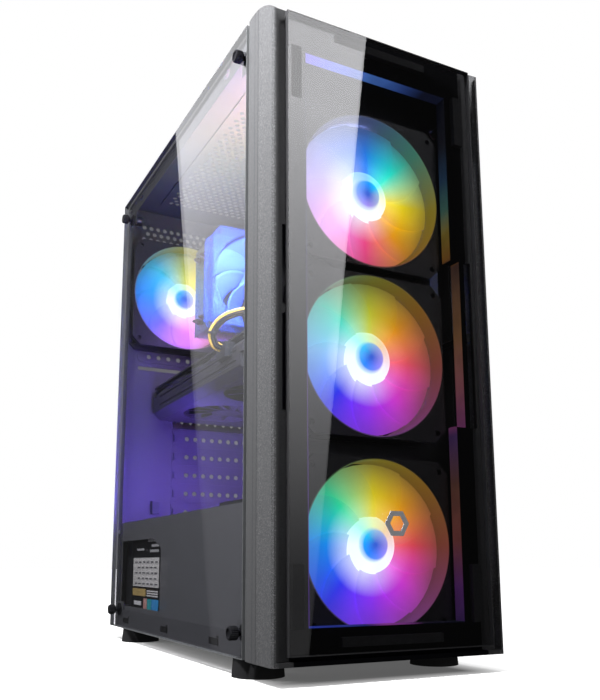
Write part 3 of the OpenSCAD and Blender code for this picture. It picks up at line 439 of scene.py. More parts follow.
def lit_frame(name, centre, wheel, strength):
    """Black fan plastic whose inner ring glows with painted light, as if it caught some of the fan's light."""
    made = Finish(name)
    turn, distance = wheel_angle(made, centre)
    grain = made.noise(900, 3)
    # Painted light: the frame's ring glows in the fan's colours, mixed towards gold, as if catching the fan's
    # light
    ring = (distance < LIT_RING[1]) * (distance > LIT_RING[0])
    golden = made.mix(wheel_colours(made, turn, wheel), (0.42, 0.30, 0.10), 0.45)
    painted_ring_light = made.mix((0, 0, 0), golden, ring * 0.6)
    return made.done(made.surface(
        base_color=made.mix((0.010, 0.010, 0.012), (0.026, 0.026, 0.028), grain),
        roughness=made.span(grain, 0.2, 0.8, 0.36, 0.5),
        emission_color=painted_ring_light,
        emission_strength=strength,
        normal=made.bump(grain, 0.00006, 0.4),
    ))


def clear_blue(name, strength, see=0.35):
    """Clear blue plastic of the cooler's fan, lit from inside."""
    made = Finish(name)
    mist = made.noise(40, 3)
    body = made.surface(
        base_color=made.mix((0.05, 0.13, 0.55), (0.20, 0.38, 0.95), mist),
        roughness=0.18,
        emission_color=made.mix((0.04, 0.09, 0.45), (0.14, 0.30, 0.95), mist),
        emission_strength=strength,
    )
    clear = made.node("BsdfTransparent", {}, [(0.62, 0.72, 1.0, 1.0)])
    share = made.span(mist, 0.2, 0.8, see + 0.1, see - 0.05)
    return made.done(made.node("MixShader", {}, [share, body, clear]))


def glowing_strip(name, axis, span, stops, strength):
    """A lit edge whose colours run along one axis."""
    made = Finish(name)
    along = dict(zip("xyz", made.axes()))[axis]
    colours = made.ramp(made.span(along, span[0], span[1]), stops)
    soft = made.noise(70, 2)
    lit = made.mix(colours, (0, 0, 0), made.span(soft, 0.3, 0.8, 0.0, 0.3))
    return made.done(made.surface(
        base_color=(0.02, 0.02, 0.022), roughness=made.span(soft, 0.2, 0.8, 0.6, 0.8), specular_ior_level=0.1,
        emission_color=lit, emission_strength=strength,
    ))


def printed(name, colour, spread=0.15):
    """Ink on a paper or foil label."""
    made = Finish(name)
    fibre = made.noise(800, 3)
    return made.done(made.surface(
        base_color=made.mix(shaded(colour, 1 - spread), colour, fibre),
        roughness=made.span(fibre, 0.2, 0.8, 0.4, 0.6),
        normal=made.bump(fibre, 0.00003, 0.3),
    ))


# ---- Mesh helpers: each adds one shape to a bmesh, in metres ----


def paint_faces(faces, finish):
    for face in faces:
        face.material_index = finish


def add_block(shape, corner, opposite, bevel=0.0, finish=0, segments=2):
    corner, opposite = Vector(corner), Vector(opposite)
    made = bmesh.ops.create_cube(shape, size=1.0)["verts"]
    bmesh.ops.scale(shape, vec=opposite - corner, verts=made)
    bmesh.ops.translate(shape, vec=(corner + opposite) / 2, verts=made)
    faces = {face for vert in made for face in vert.link_faces}
    paint_faces(faces, finish)
    if bevel:
        edges = list({edge for face in faces for edge in face.edges})
        bevelled = bmesh.ops.bevel(shape, geom=edges, offset=bevel, segments=segments, profile=0.5,
                                   affect="EDGES", material=-1)
        paint_faces(bevelled["faces"], finish)


def axis_turn(axis):
    """The turn that takes Z to an axis."""
    return Vector((0, 0, 1)).rotation_difference(Vector(axis)).to_matrix()


def add_lathe(shape, profile, place, axis, steps=48, finish=0, smooth=True):
    """Spins (radius, height) points about an axis through place, heights counted along the axis."""
    turn = axis_turn(axis)
    verts = [shape.verts.new(Vector(place) + turn @ Vector((r, 0, h))) for r, h in profile]
    edges = [shape.edges.new(pair) for pair in zip(verts, verts[1:])]
    before = set(shape.faces)
    bmesh.ops.spin(shape, geom=verts + edges, cent=place, axis=turn @ Vector((0, 0, 1)),
                   angle=2 * math.pi, steps=steps, use_merge=True)
    faces = [face for face in shape.faces if face not in before]
    for face in faces:
        face.smooth = smooth
        face.material_index = finish
    bmesh.ops.remove_doubles(shape, verts=list({v for face in faces for v in face.verts}), dist=1e-6)
    return faces


def add_pan_screw(shape, place, axis, radius):
    """A pan-head screw with a dished recess."""
    add_lathe(shape, [(0, 0), (radius, 0), (radius, 0.0004), (radius * 0.8, 0.0012), (radius * 0.45, 0.0016),
                      (radius * 0.42, 0.0016), (radius * 0.38, 0.0008), (0, 0.0008)], place, axis, 24, 0)


def new_object(name, shape, finishes):
    """Turns a bmesh into an object of the scene."""
    mesh = bpy.data.meshes.new(name)
    shape.to_mesh(mesh)
    shape.free()
    for finish in finishes:
        mesh.materials.append(finish)
    made = bpy.data.objects.new(name, mesh)
    bpy.context.collection.objects.link(made)
    return made


def finish_piece(name, shape, finishes, body, replaced=()):
    """Turns a bmesh into a piece that rides on a body."""
    bmesh.ops.recalc_face_normals(shape, faces=shape.faces)
    piece = new_object(name, shape, finishes)
    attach(piece, body)
    if replaced:
        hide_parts(*replaced)


def smooth_path(points, steps=8):
    """Points on a Catmull-Rom curve through the given ones."""
    given = [Vector(p) for p in points]
    held = [given[0] * 2 - given[1]] + given + [given[-1] * 2 - given[-2]]
    path = []
    for a, b, c, d in zip(held, held[1:], held[2:], held[3:]):
        for step in range(steps):
            t = step / steps
            path.append(0.5 * (2 * b + (c - a) * t + (2 * a - 5 * b + 4 * c - d) * t * t
                               + (3 * b - a - 3 * c + d) * t * t * t))
    return path + [given[-1]]


def add_tube(shape, path, radius, sides=8, finish=0):
    """A closed tube swept along a path."""
    previous = None
    across = Vector((0, 0, 1))
    for index, place in enumerate(path):
        ahead = path[min(index + 1, len(path) - 1)] - path[max(index - 1, 0)]
        ahead.normalize()
        across = (across - ahead * across.dot(ahead)).normalized()
        basis = Matrix((across, ahead.cross(across), ahead)).transposed().to_4x4()
        at_end = index in (0, len(path) - 1)
        ring = bmesh.ops.create_circle(shape, segments=sides, radius=radius, cap_ends=at_end,
                                       matrix=Matrix.Translation(place) @ basis)["verts"]
        touching = {edge for vert in ring for edge in vert.link_edges}
        edges = [edge for edge in touching if all(vert in ring for vert in edge.verts)]
        if previous:
            joined = bmesh.ops.bridge_loops(shape, edges=previous + edges)["faces"]
            for face in joined:
                face.smooth = True
                face.material_index = finish
        previous = edges


# ---- Settings a user would change ----


class TowerSettings(bpy.types.PropertyGroup):
    """Sizes and strengths of the tower's looks."""

    blade_count: bpy.props.IntProperty(
        name="Blades", description="Number of blades on each lit fan", default=9, min=5, max=13)
    blade_depth: bpy.props.FloatProperty(
        name="Blade depth", description="Depth of a case fan's blades along its axis",
        default=0.0035, unit="LENGTH", subtype="DISTANCE")
    hub_radius: bpy.props.FloatProperty(
        name="Hub radius", description="Radius of a case fan's lit hub",
        default=0.0205, unit="LENGTH", subtype="DISTANCE")
    fan_glow: bpy.props.FloatProperty(
        name="Fan glow", description="Strength of the light in the case fans' blades", default=2.7, min=0.0)
    knurls: bpy.props.IntProperty(
        name="Knurls", description="Ridges round a thumbscrew's head", default=24, min=12, max=40)
    front_tint: bpy.props.FloatVectorProperty(
        name="Front tint", description="Tint of each face of the front glass", subtype="COLOR",
        default=(0.70, 0.70, 0.71))
    window_tint: bpy.props.FloatVectorProperty(
        name="Window tint", description="Tint of each face of the side window", subtype="COLOR",
        default=(0.86, 0.86, 0.88))
    strand_radius: bpy.props.FloatProperty(
        name="Strand radius", description="Radius of one insulated wire in a cable",
        default=0.0013, unit="LENGTH", subtype="DISTANCE")


def settings():
    return bpy.context.scene.tower


class TowerOperator:
    """What every step of the build shares."""

    bl_options = {"REGISTER", "UNDO"}

    def execute(self, context):
        self.build(context.scene.tower)
        return {"FINISHED"}


def fan_centre(node):
    """Where a fan's axis meets its intake face."""
    corner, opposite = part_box(node)
    centre = (corner + opposite) / 2
    return Vector((centre.x, corner.y, centre.z))


class TOWER_OT_frame_finishes(TowerOperator, bpy.types.Operator):
    """Gives every node of the frame its finish"""

    bl_idname = "tower.frame_finishes"
    bl_label = "Finish the frame"

    def build(self, tower):
        by_slot = {
            "case_steel": powder_coat("case_steel", (0.055, 0.057, 0.064)),
            "black_plastic": grained_plastic("black_plastic", (0.022, 0.022, 0.025)),
            "bezel_plastic": sparkle_plastic("bezel_plastic", (0.085, 0.086, 0.090), (0.008, 0.008, 0.010)),
            "black_rubber": rubber("black_rubber", (0.016, 0.016, 0.017)),
            "fan_frame_plastic": grained_plastic("fan_frame_plastic", (0.018, 0.018, 0.02), 0.42),
            "fan_blade_plastic": grained_plastic("fan_blade_plastic", (0.4, 0.42, 0.5), 0.35),
            "bright_metal": brushed_metal("bright_metal", (0.66, 0.66, 0.68)),
            "screw_steel": brushed_metal("screw_steel", (0.035, 0.035, 0.038), (1, 1, 1), 0.38),
            "aluminium_fins": brushed_metal("aluminium_fins", (0.74, 0.75, 0.78), (30, 1, 1), 0.28),
            "pipe_metal": brushed_metal("pipe_metal", (0.80, 0.66, 0.58), (1, 30, 1), 0.2),
            "circuit_board": circuit_board("circuit_board"),
            "brass_standoff": brushed_metal("brass_standoff", (0.78, 0.60, 0.30), (1, 1, 1), 0.3),
            "clear_fan_plastic": clear_blue("clear_fan_plastic", 0.08, 0.75),
            "badge_metal": printed("badge_metal", (0.62, 0.62, 0.65), 0.2),
            "cable_sleeve": woven_sleeve("cable_sleeve", (0.02, 0.02, 0.022)),
        }
        special = {
            "front_glass": tinted_glass("front_glass_pane", "front_glass", tower.front_tint,
                                        (0.03, 0.03, 0.032)),
            "side_window": tinted_glass("window_pane", "side_window", tower.window_tint,
                                        (0.12, 0.125, 0.13)),
            "rear_fan_frame": lit_frame("rear_frame_lit", middle("rear_fan_frame"), "rear", 1.6),
            "psu_shroud": powder_coat("shroud_coat", (0.15, 0.153, 0.162)),
            "front_glass_pads": rubber("pad_rubber", (0.005, 0.005, 0.006)),
            "bottom_pan": powder_coat("pan_coat", (0.12, 0.122, 0.13)),
            "graphics_shroud": grained_plastic("card_shroud", (0.030, 0.030, 0.034), 0.4),
        }
        for size in FRONT_FANS:
            node = "front_fan_frame_" + size
            special[node] = lit_frame(node + "_lit", middle(node), size, 0.7)
        for name, node in NODES.items():
            finish = special.get(name) or by_slot[SLOT_OF[name]]
            for place in node.material_slots:
                place.material = finish
            if not node.material_slots:
                node.data.materials.append(finish)


KNURL_DEPTH = 0.00045


def knurled_screw(shape, base, axis, profile, head_radius, knurls):
    """A thumbscrew: its profile spun round, then every other edge of the rim pulled in."""
    faces = add_lathe(shape, profile, base, axis, knurls * 2, 0, False)
    turn = axis_turn(axis).inverted()
    for vert in {v for face in faces for v in face.verts}:
        local = turn @ (vert.co - Vector(base))
        spread = Vector((local.x, local.y, 0))
        if spread.length < head_radius - 0.0001:
            continue
        step = round(math.atan2(local.y, local.x) / (math.pi / knurls))
        if step % 2:
            local -= spread.normalized() * KNURL_DEPTH
            vert.co = Vector(base) + axis_turn(axis) @ local


class TOWER_OT_thumbscrews(TowerOperator, bpy.types.Operator):
    """Makes the knurled thumbscrews of the window and of the right side panel"""

    bl_idname = "tower.thumbscrews"
    bl_label = "Thumbscrews"

    def build(self, tower):
        black = bpy.data.materials["screw_steel"]
        tip, shank = 0.0017, 0.002
        corner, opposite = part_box("window_thumbscrews")
        head = 0.00475
        start = opposite.x - low("side_window").x
        profile = [(0, 0), (tip, 0), (shank, 0.0004), (shank, start), (0.0040, start), (head, start + 0.0008),
                   (head, start + 0.0052), (0.0042, start + 0.0062), (0.0032, start + 0.0064),
                   (0.0026, start + 0.0054), (0, start + 0.0050)]
        shape = bmesh.new()
        for y in (corner.y + head, opposite.y - head):
            for z in (corner.z + head, opposite.z - head):
                knurled_screw(shape, (opposite.x, y, z), (-1, 0, 0), profile, head, tower.knurls)
        finish_piece("window_thumbscrew_heads", shape, [black], "window_screws",
                     ["window_thumbscrews"])
        corner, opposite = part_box("panel_thumbscrews")
        head = 0.005
        start = 0.0053
        profile = [(0, 0), (tip, 0), (shank, 0.0004), (shank, start), (0.0042, start), (head, start + 0.0008),
                   (head, start + 0.0044), (0.0042, start + 0.0053), (0.002, start + 0.0053),
                   (0.0016, start + 0.0043), (0, start + 0.0043)]
        x = (corner.x + opposite.x) / 2
        shape = bmesh.new()
        for z in (corner.z + head, opposite.z - head):
            knurled_screw(shape, (x, corner.y, z), (0, 1, 0), profile, head, tower.knurls)
        finish_piece("panel_thumbscrew_heads", shape, [black], "right_panel",
                     ["panel_thumbscrews"])


BLADE_THICKNESS = 0.0011


def add_blades(shape, centre, count, hub, tip, front, depth, chord, finish=0):
    """Swept blades: a bent edge from hub to tip is spun along the fan's axis, then given a thickness."""
    across, along, bend = 6, 8, math.radians(24)
    for blade in range(count):
        start = 2 * math.pi * blade / count
        verts = []
        for step in range(across + 1):
            share = step / across
            radius = hub + (tip - hub) * share
            angle = start + bend * share ** 1.4
            reach = Vector((radius * math.cos(angle), front, radius * math.sin(angle)))
            verts.append(shape.verts.new(centre + reach))
        edges = [shape.edges.new(pair) for pair in zip(verts, verts[1:])]
        before = set(shape.faces)
        bmesh.ops.spin(shape, geom=verts + edges, cent=centre, axis=(0, 1, 0), dvec=(0, depth / along, 0),
                       angle=-chord, steps=along, use_merge=False)
        faces = [face for face in shape.faces if face not in before]
        bmesh.ops.solidify(shape, geom=faces, thickness=BLADE_THICKNESS)
        for face in shape.faces:
            if face not in before:
                face.smooth = True
                face.material_index = finish


class TOWER_OT_fan_rotors(TowerOperator, bpy.types.Operator):
    """Makes the lit rotors of the case fans and the clear rotor of the cooler"""

    bl_idname = "tower.fan_rotors"
    bl_label = "Fan rotors"

    def build(self, tower):
        fans = [("front_fan_frame_" + s, "front_fan_rotor_" + s, "front_rotor_" + s, s) for s in FRONT_FANS]
        fans.append(("rear_fan_frame", "rear_fan_rotor", "rear_rotor", "rear"))
        for frame_node, rotor_node, body, wheel in fans:
            centre = fan_centre(frame_node)
            glow = tower.fan_glow * FAN_SHARES[wheel]
            finishes = [frosted_blades(body + "_blades", centre, wheel, glow),
                        lit_hub(body + "_hub", centre, wheel, glow * 1.25)]
            shape = bmesh.new()
            add_blades(shape, centre, tower.blade_count, hub=tower.hub_radius - 0.001, tip=0.0565,
                       front=0.0100, depth=tower.blade_depth, chord=math.radians(62))
            self.hub(shape, centre, radius=tower.hub_radius, back=0.0200)
            finish_piece(body + "_frosted", shape, finishes, body, [rotor_node])
        centre = fan_centre("cooler_fan_frame")
        finishes = [clear_blue("cooler_blades", 0.4, 0.3), clear_blue("cooler_hub", 0.8, 0.1)]
        shape = bmesh.new()
        add_blades(shape, centre, tower.blade_count, hub=0.0155, tip=0.0445, front=0.003, depth=0.013,
                   chord=math.radians(36))
        self.hub(shape, centre, radius=0.0165, back=0.0205)
        finish_piece("cooler_rotor_clear", shape, finishes, "cooler_rotor",
                     ["cooler_fan_rotor"])

    def hub(self, shape, centre, radius, back):
        """A dished cap inside a sloping ring, open at the back for the fan's pin."""
        pin = 0.0016
        profile = [(0, 0.0056), (0.45 * radius, 0.0054), (0.51 * radius, 0.0060), (0.56 * radius, 0.0080),
                   (0.80 * radius, 0.0094), (0.95 * radius, 0.0110), (radius, 0.0124), (radius, back),
                   (radius - 0.0012, back), (pin + 0.001, back), (pin, back - 0.0005), (pin, 0.0070),
                   (0, 0.0070)]
        add_lathe(shape, profile, centre, (0, 1, 0), 64, 1)


class TOWER_OT_light_strips(TowerOperator, bpy.types.Operator):
    """Makes the edges of the front opening that the fans light up, glowing with painted light in the fans'
    colours
    """

    bl_idname = "tower.light_strips"
    bl_label = "Lit edges"

    def build(self, tower):
        x = middle("front_glass").x
        half = 0.0619
        front = high("front_glass").y + 0.0043
        back = low("front_fan_frame_low").y - 0.0018
        foot, top = 0.0341, 0.4339
        thin = 0.0006
        vent_low, vent_high, vent_x = 0.1723, 0.2997, x + 0.0699
        unlit = (0.004, 0.006, 0.02)
        # Painted light: the colours the fans throw on the walls of the front opening, along each edge; near
        # black where none falls
        across = [(0.0, (0.22, 0.16, 0.9)), (0.2, (0.16, 0.22, 0.95)), (0.45, (0.06, 0.16, 0.5)),
                  (0.7, (0.02, 0.05, 0.2)), (0.85, unlit), (1.0, unlit)]
        up = [(0.0, (0.10, 0.04, 0.22)), (0.06, (0.22, 0.05, 0.35)), (0.14, (0.45, 0.12, 0.10)),
              (0.24, (0.30, 0.12, 0.08)), (0.33, (0.16, 0.07, 0.30)), (0.345, (0.55, 0.12, 0.42)),
              (0.42, (0.65, 0.20, 0.25)), (0.52, (0.55, 0.26, 0.10)), (0.66, (0.16, 0.08, 0.06)),
              (0.67, (0.55, 0.22, 0.02)), (0.72, (0.60, 0.42, 0.04)), (0.77, (0.10, 0.35, 0.28)),
              (0.83, (0.02, 0.09, 0.22)), (0.90, unlit), (1.0, unlit)]
        floor = [(0.0, (0.05, 0.10, 0.8)), (0.35, (0.03, 0.05, 0.35)), (0.48, (0.5, 0.08, 0.55)),
                 (0.62, (0.35, 0.07, 0.4)), (0.72, unlit), (1.0, unlit)]
        left = [(0.0, (0.16, 0.05, 0.5)), (0.4, (0.20, 0.10, 0.45)), (0.7, (0.03, 0.05, 0.2)), (1.0, unlit)]
        finishes = [
            glowing_strip("lit_edge_top", "x", (x - half, x + half), across, strength=1.6),
            glowing_strip("lit_edge_side", "z", (foot, top), up, strength=0.35),
            glowing_strip("lit_edge_bottom", "x", (x - half, x + half), floor, strength=0.7),
            glowing_strip("lit_edge_left", "z", (foot, top), left, strength=1.0),
        ]
        left_x, right_x = x - half, x + half
        shape = bmesh.new()
        for x0, z0, x1, z1, finish in (
                (left_x, top - thin, right_x, top, 0),
                (right_x - thin, foot, right_x, vent_low, 1),
                (right_x - thin, vent_high, right_x, top - thin, 1),
                (vent_x - thin, vent_low, vent_x, vent_high, 1),
                (left_x, foot, right_x, foot + thin, 2),
                (left_x, foot + thin, left_x + thin, top - thin, 3)):
            add_block(shape, (x0, front, z0), (x1, back, z1), 0.0001, finish)
        add_block(shape, (right_x + 0.0004, front + 0.003, vent_low),
                  (vent_x - thin, back, vent_low + thin), 0.0001, 1)
        finish_piece("lit_opening_edges", shape, finishes, "front_panel")


class TOWER_OT_supply_label(TowerOperator, bpy.types.Operator):
    """Makes the power supply's label, with plain bars where the words would be"""

    bl_idname = "tower.supply_label"
    bl_label = "Power supply label"

    def build(self, tower):
        x = low("power_supply").x
        y = middle("power_supply").y + 0.002
        z = low("power_supply").z
        inks = [printed("label_black", (0.015, 0.015, 0.017)), printed("label_paper", (0.74, 0.73, 0.69)),
                printed("label_ink", (0.16, 0.16, 0.17)), printed("label_gold", (0.55, 0.40, 0.15)),
                printed("label_blue", (0.05, 0.35, 0.75)), printed("label_teal", (0.05, 0.42, 0.45)),
                printed("label_pink", (0.62, 0.34, 0.30)), printed("label_white", (0.85, 0.85, 0.85))]
        shape = bmesh.new()

        def patch(y0, z0, y1, z1, ink, rise):
            add_block(shape, (x - rise, y + y0 * MM, z + z0 * MM),
                      (x - rise + 0.0002, y + y1 * MM, z + z1 * MM), 0.00004, ink, 1)

        patch(-46, 14, 46, 85, 0, 0.0002)
        for row, (start, length) in enumerate([(-40, 34), (-40, 22), (-40, 27)]):
            patch(start, 80 - row * 5, start + length, 82.4 - row * 5, 7, 0.0004)
        patch(6, 72, 30, 74, 7, 0.0004)
        patch(-42, 37, 42, 65, 1, 0.0004)
        for row in range(5):
            for column in range(6 - row % 2):
                start = -38 + column * 13 + (row % 2) * 3
                patch(start, 60 - row * 5.2, start + 7 + (row + column) % 3, 61.4 - row * 5.2, 2, 0.0006)
        for row in range(6):
            patch(-41, 38.6 + row * 5.2, 41, 38.8 + row * 5.2, 2, 0.00055)
        for row in range(3):
            patch(-40, 28.4 + row * 2.2, -6, 29.6 + row * 2.2, 7, 0.0004)
        patch(-2, 28, 42, 35, 3, 0.0004)
        patch(-42, 16, -22, 26, 4, 0.0004)
        patch(-21, 16, -8, 26, 5, 0.0004)
        patch(-7, 16, 4, 26, 6, 0.0004)
        patch(12, 19, 36, 23, 7, 0.0004)
        finish_piece("supply_label", shape, inks, "case")


# Where the slots of the bottom rail are, in metres
RAIL_SLOT_YS = (0.150, 0.030, -0.084)
RAIL_SLOT_Z = 0.019

# The rear expansion slots, in metres
SLOT_COUNT = 7
SLOT_PITCH = 0.02032

# Cable routes from plug to plug, in millimetres in the case's own frame, and where that frame stands
CASE_PLACE = Vector((3.25, -193.45, 0)) * MM
CARD_ROUTE = [
    (-62, 160, 254), (-68, 160, 257), (-70, 158, 268), (-60, 150, 280), (-38, 138, 284),
    (-5, 124, 276), (30, 112, 255), (50, 104, 225), (56, 100, 185), (56, 100, 145),
    (56, 102, 110), (54, 112, 80), (48, 140, 64), (40, 180, 60), (38, 215, 60), (38, 241, 60),
]
BOARD_ROUTE = [
    (58, 142, 326), (48, 140, 326), (40, 128, 320), (42, 112, 304), (52, 98, 275),
    (66, 88, 235), (72, 84, 190), (72, 84, 145), (72, 86, 110), (68, 100, 76),
    (60, 140, 52), (56, 190, 44), (56, 241, 44),
]


def beside(path, radius, angle):
    """A path that runs beside another one, at an angle round it."""
    moved = []
    across = Vector((0, 0, 1))
    for index, place in enumerate(path):
        ahead = (path[min(index + 1, len(path) - 1)] - path[max(index - 1, 0)]).normalized()
        across = (across - ahead * across.dot(ahead)).normalized()
        moved.append(place + (across * math.cos(angle) + ahead.cross(across) * math.sin(angle)) * radius)
    return moved


class TOWER_OT_cables(TowerOperator, bpy.types.Operator):
    """Makes the two inside cables as bundles of insulated wires with ties round them"""

    bl_idname = "tower.cables"
    bl_label = "Cables"

    def build(self, tower):
        black = grained_plastic("wire_black", (0.02, 0.02, 0.022), 0.42)
        yellow = grained_plastic("wire_yellow", (0.85, 0.55, 0.08), 0.38)
        for name, route, bundle, count in (("graphics_cable", CARD_ROUTE, 0.0026, 6),
                                           ("board_cable", BOARD_ROUTE, 0.0044, 10)):
            path = smooth_path([CASE_PLACE + Vector(p) * MM for p in route])
            shape = bmesh.new()
            for strand in range(count):
                lane = beside(path, bundle, 2 * math.pi * strand / count)
                add_tube(shape, lane, tower.strand_radius, 8, 1 if strand % 3 == 0 and count == 6 else 0)
            add_tube(shape, path, bundle * 0.5, 8, 0)
            for place in range(14, len(path) - 10, 22):
                ahead = (path[place + 1] - path[place]).normalized()
                add_lathe(shape, [(bundle + 0.0012, 0), (bundle + 0.00145, 0.0002),
                                  (bundle + 0.00145, 0.0022), (bundle + 0.0012, 0.0024)],
                          path[place], ahead, 20, 0)
            finish_piece(name + "_wires", shape, [black, yellow], "case", [name])


class TOWER_OT_graphics_trim(TowerOperator, bpy.types.Operator):
    """Makes the graphics card's trim, fins and plug"""

    bl_idname = "tower.graphics_trim"
    bl_label = "Graphics card trim"

    def build(self, tower):
        corner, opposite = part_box("graphics_shroud")
        plate = low("graphics_backplate")
        silver = brushed_metal("card_trim_metal", (0.62, 0.63, 0.66), (1, 30, 1), 0.25)
        plastic = grained_plastic("card_plug_plastic", (0.02, 0.02, 0.022), 0.45)
        fins = brushed_metal("card_fin_metal", (0.7, 0.72, 0.76), (1, 1, 20), 0.3)
        shape = bmesh.new()
        x = corner.x
        top = opposite.z
        for start, length in ((30, 58), (96, 40), (142, 52)):
            y = corner.y + start * MM
            add_block(shape, (x - 0.0006, y, top - 0.0052),
                      (x + 0.0004, y + length * MM, top - 0.0036), 0.0002, 0)
            add_block(shape, (x + 0.0034, y + 0.004, top - 0.0004),
                      (x + 0.0052, y + (length - 6) * MM, top + 0.0012), 0.0003, 0)
        for index in range(36):
            y = corner.y + (54 + index * 4.6) * MM
            add_block(shape, (x + 0.0058, y, top - 0.001), (x + 0.012, y + 0.0006, top + 0.0018), 0, 2)
        for index in range(9):
            y = corner.y + (20 + index * 24) * MM
            add_block(shape, (x - 0.0004, y, corner.z + 0.0165),
                      (x + 0.0006, y + 0.014, corner.z + 0.0172), 0.0001, 1)
        for z in (corner.z + 0.010, corner.z + 0.0205):
            add_block(shape, (x - 0.0002, corner.y + 0.016, z),
                      (x + 0.0005, opposite.y - 0.030, z + 0.0006), 0.0001, 0)
        for index in range(2):
            y = corner.y + (30 + index * 9) * MM
            add_block(shape, (plate.x - 0.0050, y, top - 0.010),
                      (plate.x + 0.002, y + 0.008, top - 0.001), 0.0006, 1)
        finish_piece("graphics_trim", shape, [silver, plastic, fins], "case")


class TOWER_OT_board_parts(TowerOperator, bpy.types.Operator):
    """Makes the small parts on the motherboard and the lit edges of the memory"""

    bl_idname = "tower.board_parts"
    bl_label = "Motherboard parts"

    def build(self, tower):
        corner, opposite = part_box("motherboard")
        face = corner.x
        can = brushed_metal("capacitor_can", (0.7, 0.7, 0.72), (1, 1, 1), 0.3)
        ferrite = grained_plastic("choke_body", (0.06, 0.06, 0.065), 0.5)
        chip = grained_plastic("chip_body", (0.015, 0.015, 0.017), 0.35)
        gold = brushed_metal("contact_gold", (0.85, 0.62, 0.25), (1, 1, 1), 0.25)
        memory, memory_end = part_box("memory_modules")
        strip = glowing_strip("memory_light", "z", (memory.z, memory_end.z), [
            (0.0, (0.6, 0.1, 0.8)), (0.3, (0.1, 0.2, 1.0)), (0.6, (0.05, 0.8, 0.6)), (1.0, (1.0, 0.4, 0.05)),
        ], 2.0)
        shape = bmesh.new()

        def capacitor(y, z, radius=0.0032, height=0.009):
            profile = [(0, 0), (radius, 0), (radius, 0.001), (radius * 0.94, 0.0014), (radius, 0.0018),
                       (radius, height - 0.0004), (radius * 0.9, height), (radius * 0.4, height - 0.0002),
                       (0, height - 0.0002)]
            add_lathe(shape, profile, (face, y, z), (-1, 0, 0), 20, 0)

        for index in range(6):
            capacitor(opposite.y - 0.090 + index * 0.0085, opposite.z - 0.0065)
        for index in range(5):
            capacitor(corner.y + 0.098 + index * 0.011, corner.z + 0.061, 0.0028, 0.0075)
            capacitor(corner.y + 0.020 + index * 0.012, corner.z + 0.148, 0.0022, 0.006)
        for index in range(7):
            z = opposite.z - 0.116 + index * 0.012
            y = opposite.y - 0.0785
            add_block(shape, (face - 0.006, y, z), (face, y + 0.009, z + 0.009), 0.0008, 1)
        for y, z, size in ((60, 52, 9), (92, 96, 12), (34, 108, 8), (150, 20, 7), (196, 60, 10), (206, 92, 7),
                           (180, 118, 6), (20, 120, 10)):
            start = (face - 0.0012, corner.y + y * MM, corner.z + z * MM)
            add_block(shape, start, (face, start[1] + size * MM, start[2] + size * MM), 0.0002, 2)
        for row in range(9):
            y = corner.y + (26 + row * 21) * MM
            for column in range(6):
                z = corner.z + (14 + column * 34 + (row * 7) % 13) * MM
                metal = 3 if (row + column) % 3 else 0
                add_block(shape, (face - 0.0007, y, z), (face, y + 0.0016, z + 0.0008), 0, metal)
        add_lathe(shape, [(0, 0), (0.0105, 0), (0.0105, 0.0012), (0.0098, 0.0032), (0, 0.0032)],
                  (face, corner.y + 0.120, corner.z + 0.052), (-1, 0, 0), 40, 0)
        finish_piece("board_parts", shape, [can, ferrite, chip, gold], "case")
        shape = bmesh.new()
        for y in (memory.y + 0.0003, memory_end.y - 0.0057):
            add_block(shape, (memory.x - 0.0022, y, memory.z + 0.002),
                      (memory.x - 0.0001, y + 0.0054, memory_end.z - 0.002), 0.0008, 0)
        finish_piece("memory_light_bars", shape, [strip], "case")


class TOWER_OT_rear_sockets(TowerOperator, bpy.types.Operator):
    """Makes the tongues inside the rear sockets and the power supply's fittings"""

    bl_idname = "tower.rear_sockets"
    bl_label = "Rear sockets"

    def build(self, tower):
        corner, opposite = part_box("board_ports")
        blue = grained_plastic("tongue_blue", (0.03, 0.12, 0.5), 0.4)
        black = grained_plastic("tongue_black", (0.02, 0.02, 0.02), 0.4)
        gold = brushed_metal("pin_gold", (0.85, 0.62, 0.25), (1, 1, 1), 0.25)
        shape = bmesh.new()
        heights = [13, 14, 15, 16, 16, 27]
        reaches = [13, 27, 16, 27, 31, 31]
        z = corner.z
        mouth = opposite.y
        outer = opposite.x
        for height, reach in zip(heights, reaches):
            middle_z = z + height / 2 * MM
            inner = outer - reach * MM
            rows = 2 if height == 14 or reach >= 27 else 1
            for row in range(rows):
                at = inner + 0.003 + row * 0.012
                add_block(shape, (at, mouth - 0.0029, middle_z - 0.0042),
                          (at + 0.002, mouth - 0.0006, middle_z + 0.0042), 0.0002, 0 if height != 27 else 1)
                for pin in range(4):
                    place = middle_z - 0.0032 + pin * 0.0019
                    add_block(shape, (at + 0.002, mouth - 0.0028, place),
                              (at + 0.0022, mouth - 0.001, place + 0.0008), 0, 2)
            z += (height + 8) * MM
        finish_piece("rear_socket_tongues", shape, [blue, black, gold], "case")
        shape = bmesh.new()
        case_back = high("rear_panel").y
        supply, supply_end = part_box("power_supply")
        for x in (supply.x + 0.006, supply_end.x - 0.006):
            for place in (supply.z + 0.006, supply_end.z - 0.006):
                add_pan_screw(shape, (x, case_back, place), (0, 1, 0), 0.0034)
        finish_piece("supply_screws", shape, [bpy.data.materials["screw_steel"]], "case")


